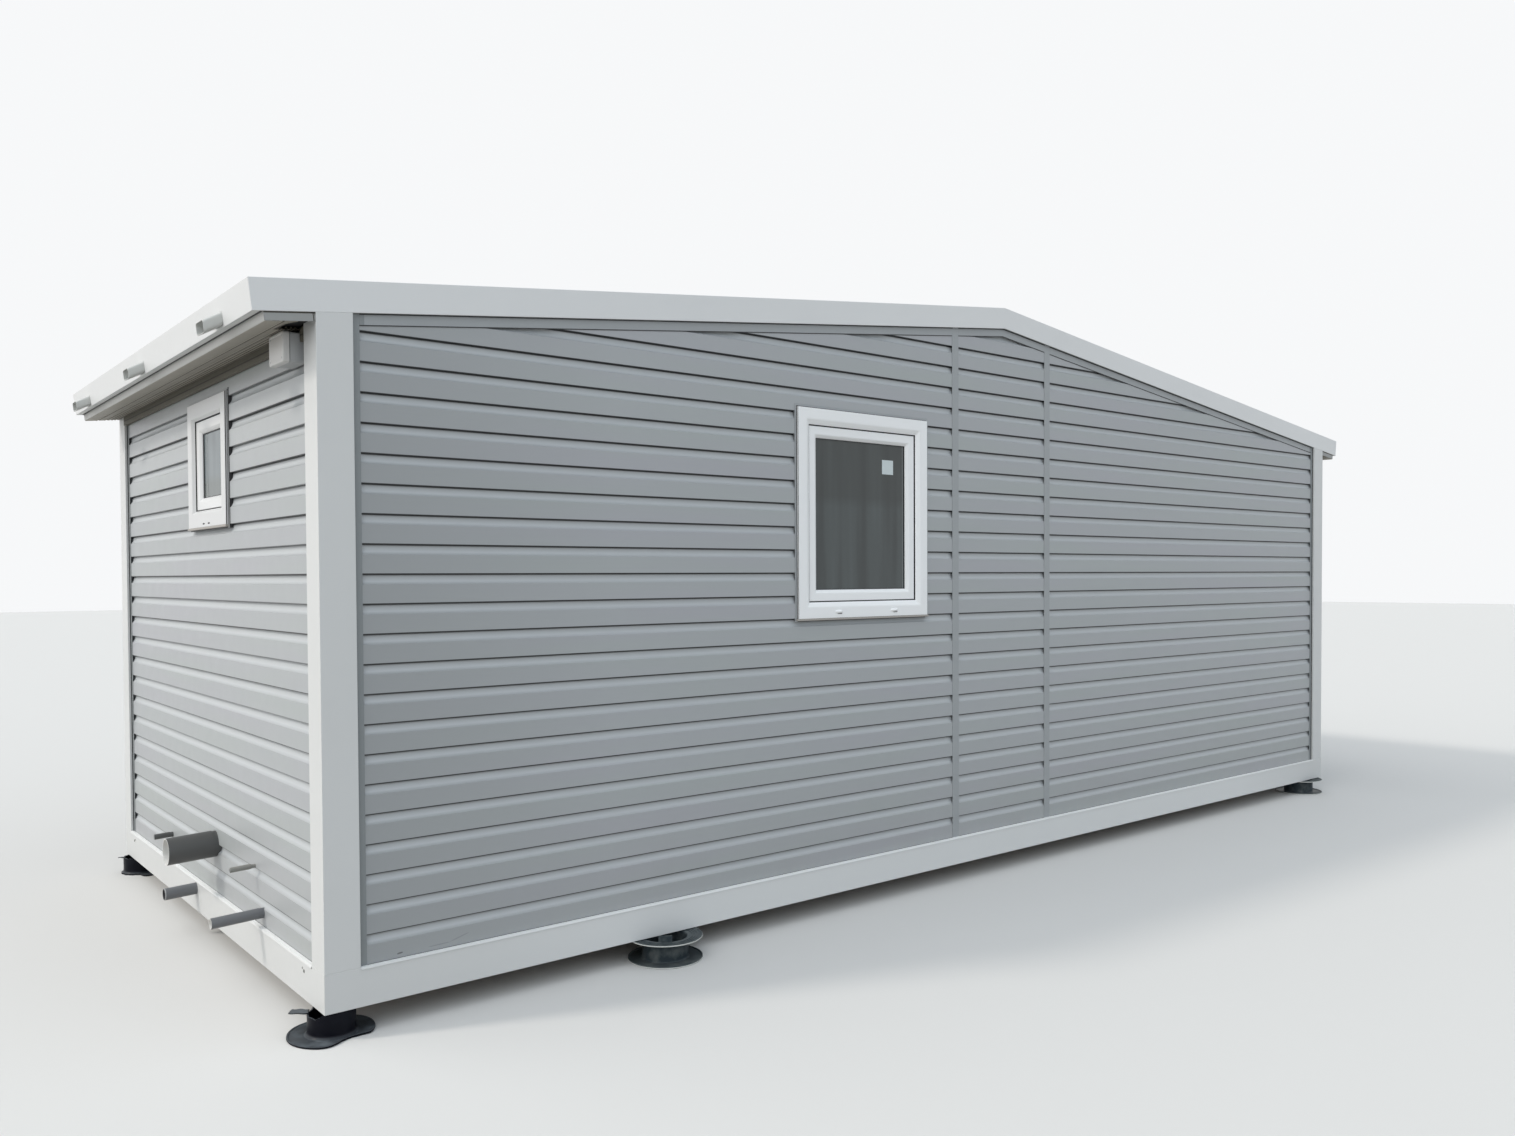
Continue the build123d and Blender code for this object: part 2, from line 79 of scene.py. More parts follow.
def meshFrom(name, shape, finish, angle):
    # one object from an array of points and an array of quads, welded and turned outwards
    points, quads = shape
    mesh = bpy.data.meshes.new(name)
    mesh.vertices.add(len(points))
    mesh.vertices.foreach_set("co", np.asarray(points, dtype=np.float32).ravel())
    mesh.loops.add(quads.size)
    mesh.loops.foreach_set("vertex_index", quads.astype(np.int32).ravel())
    mesh.polygons.add(len(quads))
    mesh.polygons.foreach_set("loop_start", np.arange(0, quads.size, 4, dtype=np.int32))
    mesh.polygons.foreach_set("loop_total", np.full(len(quads), 4, dtype=np.int32))
    mesh.update(calc_edges=True)
    work = bmesh.new()
    work.from_mesh(mesh)
    bmesh.ops.remove_doubles(work, verts=work.verts, dist=meshing["weld"])
    bmesh.ops.recalc_face_normals(work, faces=work.faces)
    work.to_mesh(mesh)
    work.free()
    piece = linked(name, mesh)
    dress(piece, finish, angle)
    return piece


def add(name, shapes, finish, slotName, *replaced, angle=meshing["wallShade"], side=None):
    # one piece from a list of shapes, in the house's frame or in that of the wall on a side
    shape = onWall(joined(shapes), side) if side else joined(shapes)
    piece = meshFrom(name, shape, finish, angle)
    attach(piece, "root")
    if replaced:
        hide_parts(*replaced)


def bevelledCopy(name, node, finish, width):
    # a welded copy of a CAD sheet with its edges rounded by the width
    mesh = nodes[node].data.copy()
    piece = linked(name, mesh)
    work = bmesh.new()
    work.from_mesh(mesh)
    bmesh.ops.remove_doubles(work, verts=work.verts, dist=meshing["weld"])
    bmesh.ops.dissolve_limit(work, angle_limit=math.radians(meshing["sameFace"]), verts=work.verts, edges=work.edges)
    limit = math.radians(meshing["sharpEdge"])
    sharp = [edge for edge in work.edges if edge.is_manifold and edge.calc_face_angle(0.0) > limit]
    bmesh.ops.bevel(work, geom=sharp, offset=width, segments=2, profile=0.5, affect="EDGES", clamp_overlap=True)
    bmesh.ops.triangulate(work, faces=work.faces)
    work.to_mesh(mesh)
    work.free()
    for layer in [layer for layer in mesh.attributes if layer.name == "custom_normal"]:
        mesh.attributes.remove(layer)
    dress(piece, finish, meshing["bevelShade"])
    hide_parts(node)
    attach(piece, "root")


def newMaterial(name, colour, roughness, metallic=0.0):
    material = bpy.data.materials.new(name)
    material.use_nodes = True
    shader = material.node_tree.nodes["Principled BSDF"]
    shader.inputs["Base Color"].default_value = (*colour, 1.0)
    shader.inputs["Roughness"].default_value = roughness
    shader.inputs["Metallic"].default_value = metallic
    return material, material.node_tree, shader


def shaded(colour, share):
    # a colour times one share, or times a share for each channel
    return tuple(float(c) for c in np.multiply(colour, share))


def addNode(kind, inputs, **settings):
    # inputs by name or number: another node's output is linked and tells the tree, a number or colour is set
    tree = next(value.id_data for value in inputs.values() if isinstance(value, bpy.types.NodeSocket))
    node = tree.nodes.new(kind)
    for key, value in settings.items():
        setattr(node, key, value)
    for key, value in inputs.items():
        socket = node.inputs[key]
        if isinstance(value, bpy.types.NodeSocket):
            tree.links.new(value, socket)
        else:
            socket.default_value = (*value, 1.0) if socket.type == "RGBA" else value
    return node


def mathNode(operation, *values, clamp=False):
    return addNode("ShaderNodeMath", dict(enumerate(values)), operation=operation, use_clamp=clamp).outputs[0]


def times(first, second, clamp=False):
    return mathNode("MULTIPLY", first, second, clamp=clamp)


def rising(value, start, gain):
    # (value - start) * gain, held between 0 and 1
    return times(mathNode("SUBTRACT", value, start), gain, clamp=True)


def falling(value, stop, gain):
    # (stop - value) * gain, held between 0 and 1
    return times(mathNode("SUBTRACT", stop, value), gain, clamp=True)


def beyond(value, limit):
    # 1 where the value is further from 0 than the limit
    return mathNode("GREATER_THAN", mathNode("ABSOLUTE", value), limit)


def without(value, taken):
    # value * (1 - taken)
    return times(value, mathNode("SUBTRACT", 1.0, taken))


def mapped(value, start, stop, low=0.0, high=1.0):
    # the value's place between start and stop, from low to high
    inputs = {"Value": value, "From Min": start, "From Max": stop, "To Min": low, "To Max": high}
    return addNode("ShaderNodeMapRange", inputs).outputs["Result"]


def objectSpace(tree, scale=(1.0, 1.0, 1.0)):
    coords = tree.nodes.new("ShaderNodeTexCoord").outputs["Object"]
    return addNode("ShaderNodeMapping", {"Vector": coords, "Scale": scale}).outputs["Vector"]


def axes(tree):
    # the object's own X, Y and Z, of which Z is the height over the ground
    return addNode("ShaderNodeSeparateXYZ", {0: objectSpace(tree)}).outputs


def upward(tree):
    # how far a face looks up: the Z of its direction
    direction = tree.nodes.new("ShaderNodeNewGeometry").outputs["Normal"]
    return addNode("ShaderNodeSeparateXYZ", {0: direction}).outputs["Z"]


def noiseValue(tree, scale, detail=3.0, stretch=(1.0, 1.0, 1.0), rough=0.55):
    inputs = {"Vector": objectSpace(tree, stretch), "Scale": scale, "Detail": detail, "Roughness": rough}
    return addNode("ShaderNodeTexNoise", inputs).outputs["Fac"]


def ramp(source, stops):
    node = addNode("ShaderNodeValToRGB", {"Fac": source})
    node.color_ramp.interpolation = "EASE"
    while len(node.color_ramp.elements) < len(stops):
        node.color_ramp.elements.new(0.5)
    for element, (position, colour) in zip(node.color_ramp.elements, stops):
        element.position, element.color = position, (*colour, 1.0)
    return node.outputs["Color"]


def blendColours(factor, first, second):
    return addNode("ShaderNodeMix", {0: factor, 6: first, 7: second}, data_type="RGBA").outputs[2]


def drifting(noise, colour, low, high):
    # a colour that wanders between two shares of itself
    return blendColours(noise, shaded(colour, low), shaded(colour, high))


def coat(shader, colour, patches, low, high, grain, strength, distance):
    # base colour, roughness from low to high over the patches, and a fine bump from the grain
    bump = addNode("ShaderNodeBump", {"Strength": strength, "Distance": distance, "Height": grain})
    links = shader.id_data.links
    links.new(colour, shader.inputs["Base Color"])
    links.new(mapped(patches, 0.0, 1.0, low, high), shader.inputs["Roughness"])
    links.new(bump.outputs["Normal"], shader.inputs["Normal"])


def paintCoat(tree, shader, colour, roughness):
    coat(shader, colour, noiseValue(tree, 24.0), roughness - 0.06, roughness + 0.08,
         noiseValue(tree, 420.0, 2.0), 0.05, 0.0002)


def plasticCoat(tree, shader, colour, roughness, grain=260.0, bump=0.06):
    coat(shader, colour, noiseValue(tree, 30.0, 2.0), roughness - 0.05, roughness + 0.07,
         noiseValue(tree, grain, 2.0), bump, 0.0003)


dirt = (0.30, 0.27, 0.23)


def weatheredPaint(name, colour, roughness, dirtLow, dirtHigh, dirtiness=0.2, skyLitShare=1.0, middleShare=1.0):
    # painted sheet: faint mottling, streaks of road dirt that thin out between two heights, fine orange peel
    material, tree, shader = newMaterial(name, colour, roughness)
    base = drifting(noiseValue(tree, 1.6, 4.0), colour, 0.955, 1.03)
    spot = axes(tree)
    streaks = times(noiseValue(tree, 9.0, 4.0, (1.0, 1.0, 0.12)), mapped(spot["Z"], dirtHigh, dirtLow))
    tinted = blendColours(times(streaks, dirtiness, clamp=True), base, dirt)
    if middleShare > 1.0:   # paler towards the middle of a long wall
        middle = falling(mathNode("ABSOLUTE", spot["X"]), 3.40, 1.0)
        tinted = blendColours(middle, tinted, shaded(colour, middleShare))
    ledge = rising(upward(tree), 0.55, 4.0)   # painted highlight: faces that look up are paler, as if lit by the sky
    paintCoat(tree, shader, blendColours(ledge, tinted, shaded(colour, skyLitShare)), roughness)
    return material


def mouldedPlastic(name, colour, roughness, spread=0.06, grain=260.0, bump=0.06):
    # moulded plastic: slight tone drift over the piece and a fine skin
    material, tree, shader = newMaterial(name, colour, roughness)
    base = drifting(noiseValue(tree, 5.0), colour, 1 - spread, 1 + spread)
    plasticCoat(tree, shader, base, roughness, grain, bump)
    return material


def dustyPlastic(name, colour, dust, roughness, faces, ledges):
    # dark moulded plastic with dried dust: its least share on ledges, and its share of blotches on upright faces
    material, tree, shader = newMaterial(name, colour, roughness)
    blotch = rising(noiseValue(tree, 17.0, 5.0), 0.46, 4.5)
    thick = times(rising(upward(tree), 0.35, 1.8), mathNode("ADD", times(blotch, 0.45), ledges))
    cover = mathNode("MAXIMUM", times(blotch, faces), thick)
    shader.inputs["Specular IOR Level"].default_value = 0.10
    coat(shader, blendColours(cover, colour, dust), blotch, roughness - 0.06, roughness + 0.25,
         noiseValue(tree, 90.0), 0.25, 0.0004)
    return material


def paneGlass(name, tone, streak, reflectionScale, plainTone, edge, soft):
    # tinted sealed glass with painted reflections: soft upright bands of painted reflection over a painted dark room,
    # and a plainer painted tone above the edge's height
    material, tree, shader = newMaterial(name, tone, 0.05)
    shader.inputs["IOR"].default_value = 1.52
    reflectionBands = noiseValue(tree, reflectionScale, 2.0, (1.0, 1.0, 0.06), 0.5)
    low = ramp(reflectionBands, [(0.36, tone), (0.52, shaded(np.add(tone, streak), 0.5)), (0.66, streak)])
    high = ramp(reflectionBands, [(0.38, shaded(plainTone, 0.82)), (0.50, plainTone), (0.62, shaded(plainTone, 1.20))])
    above = rising(axes(tree)[2], edge - soft / 2, 1.0 / soft)
    coat(shader, blendColours(above, low, high), noiseValue(tree, 6.0, 2.0), 0.03, 0.08,
         noiseValue(tree, 1.7, 1.0), 0.04, 0.004)
    return material


sidingLook = {
    "colour": (0.389, 0.405, 0.413), "roughness": 0.42, "foot": 0.225, "course": 0.1015, "pairsFrom": 0.2757,
    "endWalls": 3.46, "longWalls": 1.46, "lapShadeColour": (0.020, 0.022, 0.023), "coveLit": (1.25, 1.255, 1.26),
    "sheltered": 1.13, "eaveLightFrom": 1.93, "eaveLightTo": 2.29, "channelFrom": 2.33, "dim": 0.83, "dimFrom": -2.35,
    "scuff": (0.06, 0.06, 0.06),
}
# scratches low on the front wall: middle, half length, half height, rise and darkness
scuffs = [((-3.2364, -1.484, 0.2418), 0.011, 0.0032, 0.10, 0.70), ((-3.094, -1.484, 0.2425), 0.042, 0.0022, 0.02, 0.26),
          ((-3.016, -1.484, 0.2540), 0.036, 0.0026, 0.26, 0.22)]


def scuffMark(tree, middle, half, thin, rise, dark):
    # darkness inside a leaning thin ellipse: 1.25 - |u / half|^3 - |w / thin|^2
    away = addNode("ShaderNodeVectorMath", {0: objectSpace(tree), 1: middle}, operation="SUBTRACT")
    x, y, z = addNode("ShaderNodeSeparateXYZ", {0: away.outputs[0]}).outputs
    along = mathNode("ABSOLUTE", mathNode("DIVIDE", x, half))
    across = mathNode("DIVIDE", mathNode("SUBTRACT", z, times(x, rise)), thin)
    square = mathNode("POWER", mathNode("ABSOLUTE", across), 2.0)
    inside = falling(mathNode("ADD", mathNode("POWER", along, 3.0), square), 1.25, 1.2)
    front = mathNode("LESS_THAN", mathNode("ABSOLUTE", y), 0.03)
    return times(inside, times(front, dark))


def sidingMaterial():
    # vinyl: panel to panel tone, splashes low down, painted shade in the laps under coves with a painted highlight, a
    # ripple along the course
    look, colour = sidingLook, sidingLook["colour"]
    material, tree, shader = newMaterial("sidingVinyl", colour, look["roughness"])
    x, y, z = axes(tree)
    base = drifting(noiseValue(tree, 0.9, 3.0, (0.35, 0.35, 2.4)), colour, 0.955, 1.04)
    tint = mathNode("SUBTRACT", times(noiseValue(tree, 1.7, 2.0, (0.4, 0.4, 4.0)), 3.0), 1.0, clamp=True)
    base = blendColours(0.5, base, drifting(tint, colour, (0.985, 1.03, 0.985), (1.02, 0.98, 1.04)))
    splash = times(noiseValue(tree, 7.0, 5.0, (1.0, 1.0, 0.4)), mapped(z, 0.75, look["foot"] - 0.005))
    dusty = blendColours(times(splash, 0.20, clamp=True), base, dirt)
    atEnds = beyond(x, look["endWalls"])
    # painted light: the end walls are paler high up under the eave, lifting the eave's shade
    eaveLightMask = times(rising(z, look["eaveLightFrom"], 6.6), falling(z, look["eaveLightTo"], 20.0))
    dusty = blendColours(times(eaveLightMask, atEnds), dusty, shaded(colour, look["sheltered"]))
    near = times(falling(x, look["dimFrom"], 1.0), beyond(y, look["longWalls"]))
    dusty = blendColours(near, dusty, shaded(colour, look["dim"]))
    course = mathNode("DIVIDE", mathNode("SUBTRACT", z, look["foot"]), look["course"])
    share = mathNode("FRACT", course)
    covered = times(atEnds, mathNode("GREATER_THAN", z, look["channelFrom"]))
    # painted shade: dark bands at the bottom of each course and just under the next one's butt, where the lap's shadow
    # falls
    lap = mathNode("MAXIMUM", rising(share, 0.940, 36.0), falling(share, 0.024, 90.0))
    pair = mathNode("DIVIDE", mathNode("SUBTRACT", z, look["pairsFrom"]), 2 * look["course"])
    ledge = mathNode("GREATER_THAN", mathNode("FRACT", pair), 0.5)
    lap = without(lap, covered)
    lap = without(lap, times(ledge, times(atEnds, 0.35)))   # less painted lap shade at the formed ledges between real laps
    # painted highlight: the cove of each course is paler, as if lit by the sky
    cove = without(times(rising(share, 0.66, 12.0), falling(share, 0.965, 14.0)), covered)
    coveLit = blendColours(cove, dusty, shaded(colour, look["coveLit"]))
    for scuff in scuffs:
        coveLit = blendColours(scuffMark(tree, *scuff), coveLit, look["scuff"])
    coat(shader, blendColours(lap, coveLit, look["lapShadeColour"]), noiseValue(tree, 12.0), 0.33, 0.46,
         noiseValue(tree, 60.0, 5.0, (0.10, 0.10, 1.6), 0.65), 0.10, 0.0007)
    return material


# edge: colour of the painted shade beside the corner posts
trimLook = {"colour": (0.340, 0.357, 0.366), "edge": (0.228, 0.245, 0.250), "roughness": 0.42, "reach": (3.335, 1.335)}


def trimMaterial():
    # trims like the siding, with painted shade right beside the corner posts
    material, tree, shader = newMaterial("trimVinyl", trimLook["colour"], trimLook["roughness"])
    spot, reach = axes(tree), trimLook["reach"]
    corner = times(beyond(spot["X"], reach[0]), beyond(spot["Y"], reach[1]))
    base = drifting(noiseValue(tree, 5.0), trimLook["colour"], 0.97, 1.03)
    plasticCoat(tree, shader, blendColours(corner, base, trimLook["edge"]), trimLook["roughness"])
    return material


# deep: colour of the painted shade next to the wall
soffitLook = {"colour": (0.328, 0.301, 0.254), "deep": (0.106, 0.093, 0.067), "roughness": 0.5, "edge": 3.655,
              "fade": 0.150}


def soffitMaterial():
    # brown-grey panel, with painted shade that darkens it evenly from the eave's edge to the wall
    material, tree, shader = newMaterial("soffitPaint", soffitLook["colour"], soffitLook["roughness"])
    inward = falling(mathNode("ABSOLUTE", axes(tree)[0]), soffitLook["edge"], 1 / soffitLook["fade"])
    base = drifting(noiseValue(tree, 6.0, 3.0, (1.0, 0.3, 1.0)), soffitLook["colour"], 0.95, 1.05)
    tone = blendColours(mathNode("POWER", inward, 1.3), base, soffitLook["deep"])
    paintCoat(tree, shader, tone, soffitLook["roughness"])
    return material


white, fasciaWhite, windowWhite = (0.652, 0.658, 0.651), (0.735, 0.740, 0.738), (0.915, 0.92, 0.92)
windowSkin = (0.30, 0.012, 600.0, 0.008)
# colour, roughness, heights where the dirt is thickest and ends, dirtiness, share of colour on ledges (a painted
# highlight) and in the middle
paints = {
    "white": (white, 0.40, 0.09, 0.40, 0.05, 1.30), "sill": (white, 0.40, 0.09, 0.40, 0.05, 1.30, 1.13),
    "fascia": (fasciaWhite, 0.40, 0.09, 0.40, 0.0, 1.08),
    # the end fascias get a darker copy of the fascia paint: painted shade
    "endFasciaShaded": (shaded(fasciaWhite, 0.955), 0.40, 0.09, 0.40, 0.0, 1.08),
    "wallInside": ((0.72, 0.72, 0.70), 0.5, 0.0, 0.01), "spout": ((0.546, 0.555, 0.536), 0.42, 2.2, 2.5),
    "roof": ((0.333, 0.347, 0.356), 0.5, 2.3, 3.2), "soffitEdge": ((0.60, 0.60, 0.585), 0.5, 2.2, 2.6),
    "floorBoards": ((0.30, 0.21, 0.13), 0.5, 0.0, 0.01), "door": ((0.78, 0.785, 0.775), 0.36, 0.25, 0.7),
}
# colour, roughness, drift of the tone, scale and strength of the skin
plastics = {
    # the end window's frame and sash below get darker copies of the window plastic: painted shade under the eave
    "window": (windowWhite, *windowSkin), "endWindowShaded": (shaded(windowWhite, 0.73), *windowSkin),
    "endSashShaded": (shaded(windowWhite, 0.84), *windowSkin), "pipe": ((0.076, 0.077, 0.076), 0.42),
    "pipeMid": ((0.150, 0.156, 0.165), 0.40), "pipeLight": ((0.250, 0.248, 0.227), 0.40),
    "pipeRim": ((0.40, 0.405, 0.405), 0.5),
    "lining": ((0.78, 0.77, 0.74), 0.5, 0.04), "footRim": ((0.60, 0.61, 0.58), 0.5, 0.15, 120.0),
    "boxGrey": ((0.426, 0.435, 0.439), 0.38), "boxWhite": ((0.585, 0.576, 0.560), 0.32),
    "gasket": ((0.02, 0.02, 0.022), 0.6), "drip": ((0.370, 0.347, 0.319), 0.5), "spacer": ((0.17, 0.185, 0.185), 0.35),
    "label": ((0.62, 0.68, 0.69), 0.6, 0.02), "steelDark": ((0.14, 0.145, 0.135), 0.35, 0.1),
    # the ribs' colour below is a painted highlight; the channel, groove and hollow colours are painted shade
    "soffitRidgeLit": ((0.40, 0.37, 0.31), 0.5, 0.05), "soffitStrip": ((0.305, 0.310, 0.303), 0.5, 0.05),
    "channel": ((0.108, 0.099, 0.074), 0.6, 0.05), "groove": ((0.034, 0.029, 0.020), 0.6, 0.1),
    "hollow": ((0.004, 0.004, 0.004), 0.8, 0.05),
}
mats = {
    "siding": sidingMaterial(), "trim": trimMaterial(), "soffit": soffitMaterial(),
    # the broken feet get a darker copy of the foot plastic: painted deep shade under the building
    "foot": dustyPlastic("foot", (0.003, 0.0035, 0.007), (0.125, 0.142, 0.156), 0.42, 0.03, 0.42),
    "footDusty": dustyPlastic("footDusty", (0.036, 0.048, 0.056), (0.190, 0.205, 0.198), 0.45, 0.50, 0.22),
    "frontGlass": paneGlass("frontGlass", (0.042, 0.050, 0.050), (0.089, 0.106, 0.106), 9.0, (0.047, 0.055, 0.054),
                            1.868, 0.05),
    "endGlass": paneGlass("endGlass", (0.10, 0.12, 0.115), (0.15, 0.17, 0.165), 7.0, (0.140, 0.170, 0.182), 1.95, 0.04),
    "steel": newMaterial("brushedSteel", (0.60, 0.60, 0.58), 0.30, 1.0)[0],
}
mats.update({title: weatheredPaint(title, *look) for title, look in paints.items()})
mats.update({title: mouldedPlastic(title, *look) for title, look in plastics.items()})
print("materials ready:", len(mats))

# finishes of the nodes that no piece stands for, by a part of their names
nodeFinishes = {"siding": "siding", "trims": "trim", "gutter": "white", "roof": "roof", "flashing": "roof",
                "floor": "floorBoards", "_wall": "wallInside"}
shown = [(node, finish) for name, node in nodes.items() for part, finish in nodeFinishes.items() if part in name]
for node, finish in shown:
    for slot in node.material_slots:
        slot.material = mats[finish]
print("finishes set on", len(shown), "nodes")

house = {
    "length": 7.0, "width": 3.0, "footHeight": 0.092, "sillTop": 0.225, "eave": 2.251, "slope": math.radians(6.54),
    "overhang": 0.210, "sheet": 0.004, "post": 0.122, "fascia": 0.105, "stripOffset": 0.368,
}
slopeSin, slopeCos, slopeTan = math.sin(house["slope"]), math.cos(house["slope"]), math.tan(house["slope"])
halfLength = house["length"] / 2
ridgeTop = house["sillTop"] + house["eave"] + (halfLength + house["overhang"]) * slopeTan
slopeLength = (halfLength + house["overhang"]) / slopeCos
sheetEdge = house["width"] / 2 - house["sheet"]   # how far the eave's sheets reach to either side

# corner at the left end seen from outside, direction along the wall, direction inwards
wallFrames = {
    "front": ((-3.5, -1.5), (1, 0), (0, 1)), "right": ((3.5, -1.5), (0, 1), (-1, 0)),
    "back": ((3.5, 1.5), (-1, 0), (0, -1)), "left": ((-3.5, 1.5), (0, -1), (1, 0)),
}
# left edge, sill height, width and height of each opening in its wall's frame
openings = {
    "front": (2.087, 1.116, 0.828, 0.934), "left": (1.3565, 1.522, 0.567, 0.528),
    "back": (4.085, 1.116, 0.828, 0.934), "door": (1.450, 0.0, 0.900, 2.020),
}


def onWall(shape, side):
    # (along, depth, height) in a wall's frame to the house: corner + along * a + depth * inwards
    points, quads = shape
    corner, along, inward = wallFrames[side]
    x, y = (corner[k] + points[:, 0] * along[k] + points[:, 1] * inward[k] for k in (0, 1))
    return np.stack([x, y, points[:, 2] + house["sillTop"]], -1), quads


def onSlope(along, down, y, end):
    # along the slope from the ridge and square down from the roof line; end is -1 left, 1 right
    x, z = end * (along * slopeCos - down * slopeSin), ridgeTop - along * slopeSin - down * slopeCos
    return np.stack(np.broadcast_arrays(x, y, z), -1)


def rect(a0, b0, a1, b1):
    return [(a0, b0), (a1, b0), (a1, b1), (a0, b1)]


def softOutline(corners, cuts, steps=4):
    # closed outline whose corners c become curves (1-s)^2 (c+a) + 2s(1-s) c + s^2 (c+b),
    # where a and b point along the two sides and are as long as the corner's cut
    c = np.asarray(corners, dtype=float)
    cuts = np.broadcast_to(np.asarray(cuts, dtype=float), len(c))[:, None]
    back, ahead = np.roll(c, 1, 0) - c, np.roll(c, -1, 0) - c
    a = back / np.linalg.norm(back, axis=1, keepdims=True) * cuts
    b = ahead / np.linalg.norm(ahead, axis=1, keepdims=True) * cuts
    s = np.linspace(0.0, 1.0, steps)[None, :, None]
    curve = (1 - s) ** 2 * (c + a)[:, None] + 2 * s * (1 - s) * c[:, None] + s ** 2 * (c + b)[:, None]
    return curve.reshape(-1, 2)


def ringShape(opening, outline):
    # outline of (inset, depth) carried round a rectangle with mitred corners: at each corner
    # the point is the corner plus its inset along both sides
    left, low, wide, high = opening
    across = np.array([0.0, 1.0, 1.0, 0.0])[:, None]
    upwards = np.array([0.0, 0.0, 1.0, 1.0])[:, None]
    inset, depth = outline[None, :, 0], outline[None, :, 1]
    u = left + across * wide + (1 - 2 * across) * inset
    z = low + upwards * high + (1 - 2 * upwards) * inset
    points = np.stack(np.broadcast_arrays(u, depth, z), -1).reshape(-1, 3)
    return points, gridFaces(4, len(outline), True, True)


def loopStack(loops):
    # stations of one closed loop each, skinned from first to last and back to the first
    loops = np.asarray(loops, dtype=float)
    return loops.reshape(-1, 3), gridFaces(loops.shape[0], loops.shape[1], True, True)


def turnedShape(profile, centre, steps=64, wave=None):
    # closed (radius, height) profile turned about an upright line: x = r cos t, y = r sin t
    profile = np.broadcast_to(np.asarray(profile, dtype=float), (steps, len(profile), 2))
    t = np.linspace(0.0, 2 * math.pi, steps, endpoint=False)[:, None]
    r, z = wave(profile[..., 0], profile[..., 1], t) if wave else (profile[..., 0], profile[..., 1])
    points = np.stack([centre[0] + r * np.cos(t), centre[1] + r * np.sin(t), z], -1)
    return points.reshape(-1, 3), gridFaces(steps, profile.shape[1], True, True)


def pipeShape(profile, centre, steps=48):
    # closed (radius, depth) profile turned about a line square to the wall, in the wall's frame
    points, quads = turnedShape(profile, centre, steps)
    return points[:, [0, 2, 1]], quads


def padShape(centre, size, depth, proud, power=4.0, rings=6, steps=32):
    # low cap on a wall: superellipse |u/a|^n + |z/b|^n = s, rising by proud * (1 - s^2)
    s = np.linspace(0.0, 1.0, rings)[:, None]
    t = np.linspace(0.0, 2 * math.pi, steps, endpoint=False)[None, :]
    reach = (np.abs(np.cos(t)) ** power + np.abs(np.sin(t)) ** power) ** (-1.0 / power)
    u, z = centre[0] + size[0] / 2 * s * reach * np.cos(t), centre[1] + size[1] / 2 * s * reach * np.sin(t)
    front = np.stack([u, depth - proud * (1 - s ** 2) + 0 * t, z], -1)
    back = front[::-1].copy()
    back[..., 1] = depth + 0.001
    return loopStack(np.concatenate([front, back]))


def slabShape(low, high, cut=0.001, steps=2):
    # box with softened edges along its height: soft outline in the first two axes, stacked
    # in four levels of which the outer two are drawn in by the cut
    middle = ((low[0] + high[0]) / 2, (low[1] + high[1]) / 2)

    def level(inset, height):
        sides = rect(low[0] + inset, low[1] + inset, high[0] - inset, high[1] - inset)
        return np.insert(softOutline(sides, cut, steps), 2, height, axis=1)

    ends = [np.tile((*middle, height), (4 * steps, 1)) for height in (low[2], high[2])]
    return loopStack([ends[0], level(cut, low[2]), level(0, low[2] + cut), level(0, high[2] - cut),
                      level(cut, high[2]), ends[1]])


def ribbonShape(stations):
    # thin closed sections, whose second half runs back along the first, carried from station
    # to station; the ends are closed by quads between each point and the one across from it
    stations = np.asarray(stations, dtype=float)
    m, n2 = stations.shape[:2]
    i = np.arange(n2 // 2 - 1)
    cap = np.stack([i, i + 1, n2 - 2 - i, n2 - 1 - i], -1)
    return stations.reshape(-1, 3), np.concatenate([gridFaces(m, n2, False, True), cap[:, ::-1], cap + (m - 1) * n2])


def wallBar(section, uFrom, uTo, side):
    # a (depth, height) section carried along a wall
    return onWall(ribbonShape([np.insert(np.asarray(section), 0, u, axis=1) for u in (uFrom, uTo)]), side)


def slopeLoop(section, y, end):
    section = np.asarray(section, dtype=float)
    return onSlope(section[:, 0], section[:, 1], y, end)


def slopeBar(section, yFrom, yTo, end, capped=True):
    # an (along, down) section carried along the eave
    stations = [slopeLoop(section, y, end) for y in (yFrom, yTo)]
    return ribbonShape(stations) if capped else (np.concatenate(stations), gridFaces(2, len(section), False, True))


def sheetSection(line, thickness):
    # an open line and its copy moved square to it by the thickness, as one closed section
    line = np.asarray(line, dtype=float)
    along = np.gradient(line, axis=0)
    along /= np.linalg.norm(along, axis=1, keepdims=True)
    moved = line + thickness * np.stack([-along[:, 1], along[:, 0]], -1)
    return np.concatenate([line, moved[::-1]])


print("shape functions ready")

windowFrame = {
    "setback": 0.003, "back": 0.073, "face": 0.072, "slope": 0.024, "endSlope": 0.011, "slopeDrop": 0.0100,
    "fold": 0.0035, "step": 0.012, "sashFront": 0.020, "sashBack": 0.072, "sashInset": 0.0765, "sashFace": 0.0505,
    "bead": 0.015, "beadDrop": 0.0095, "glassFront": 0.038, "glassGap": 0.020, "glassThick": 0.004, "gasket": 0.0035,
    "seamFrom": 0.0165, "groove": (-0.0004, 0.0048, 0.0004, 0.0076), "edgeShade": (-0.0040, 0.0132, 0.0008, 0.0160),
    "flashing": 0.009, "capHeight": 0.028, "caps": (0.289, 0.722), "cap": (0.050, 0.017), "slot": (0.030, 0.0045),
    "shade": 24.0, "fineShade": 35.0, "capShade": 50.0,
}
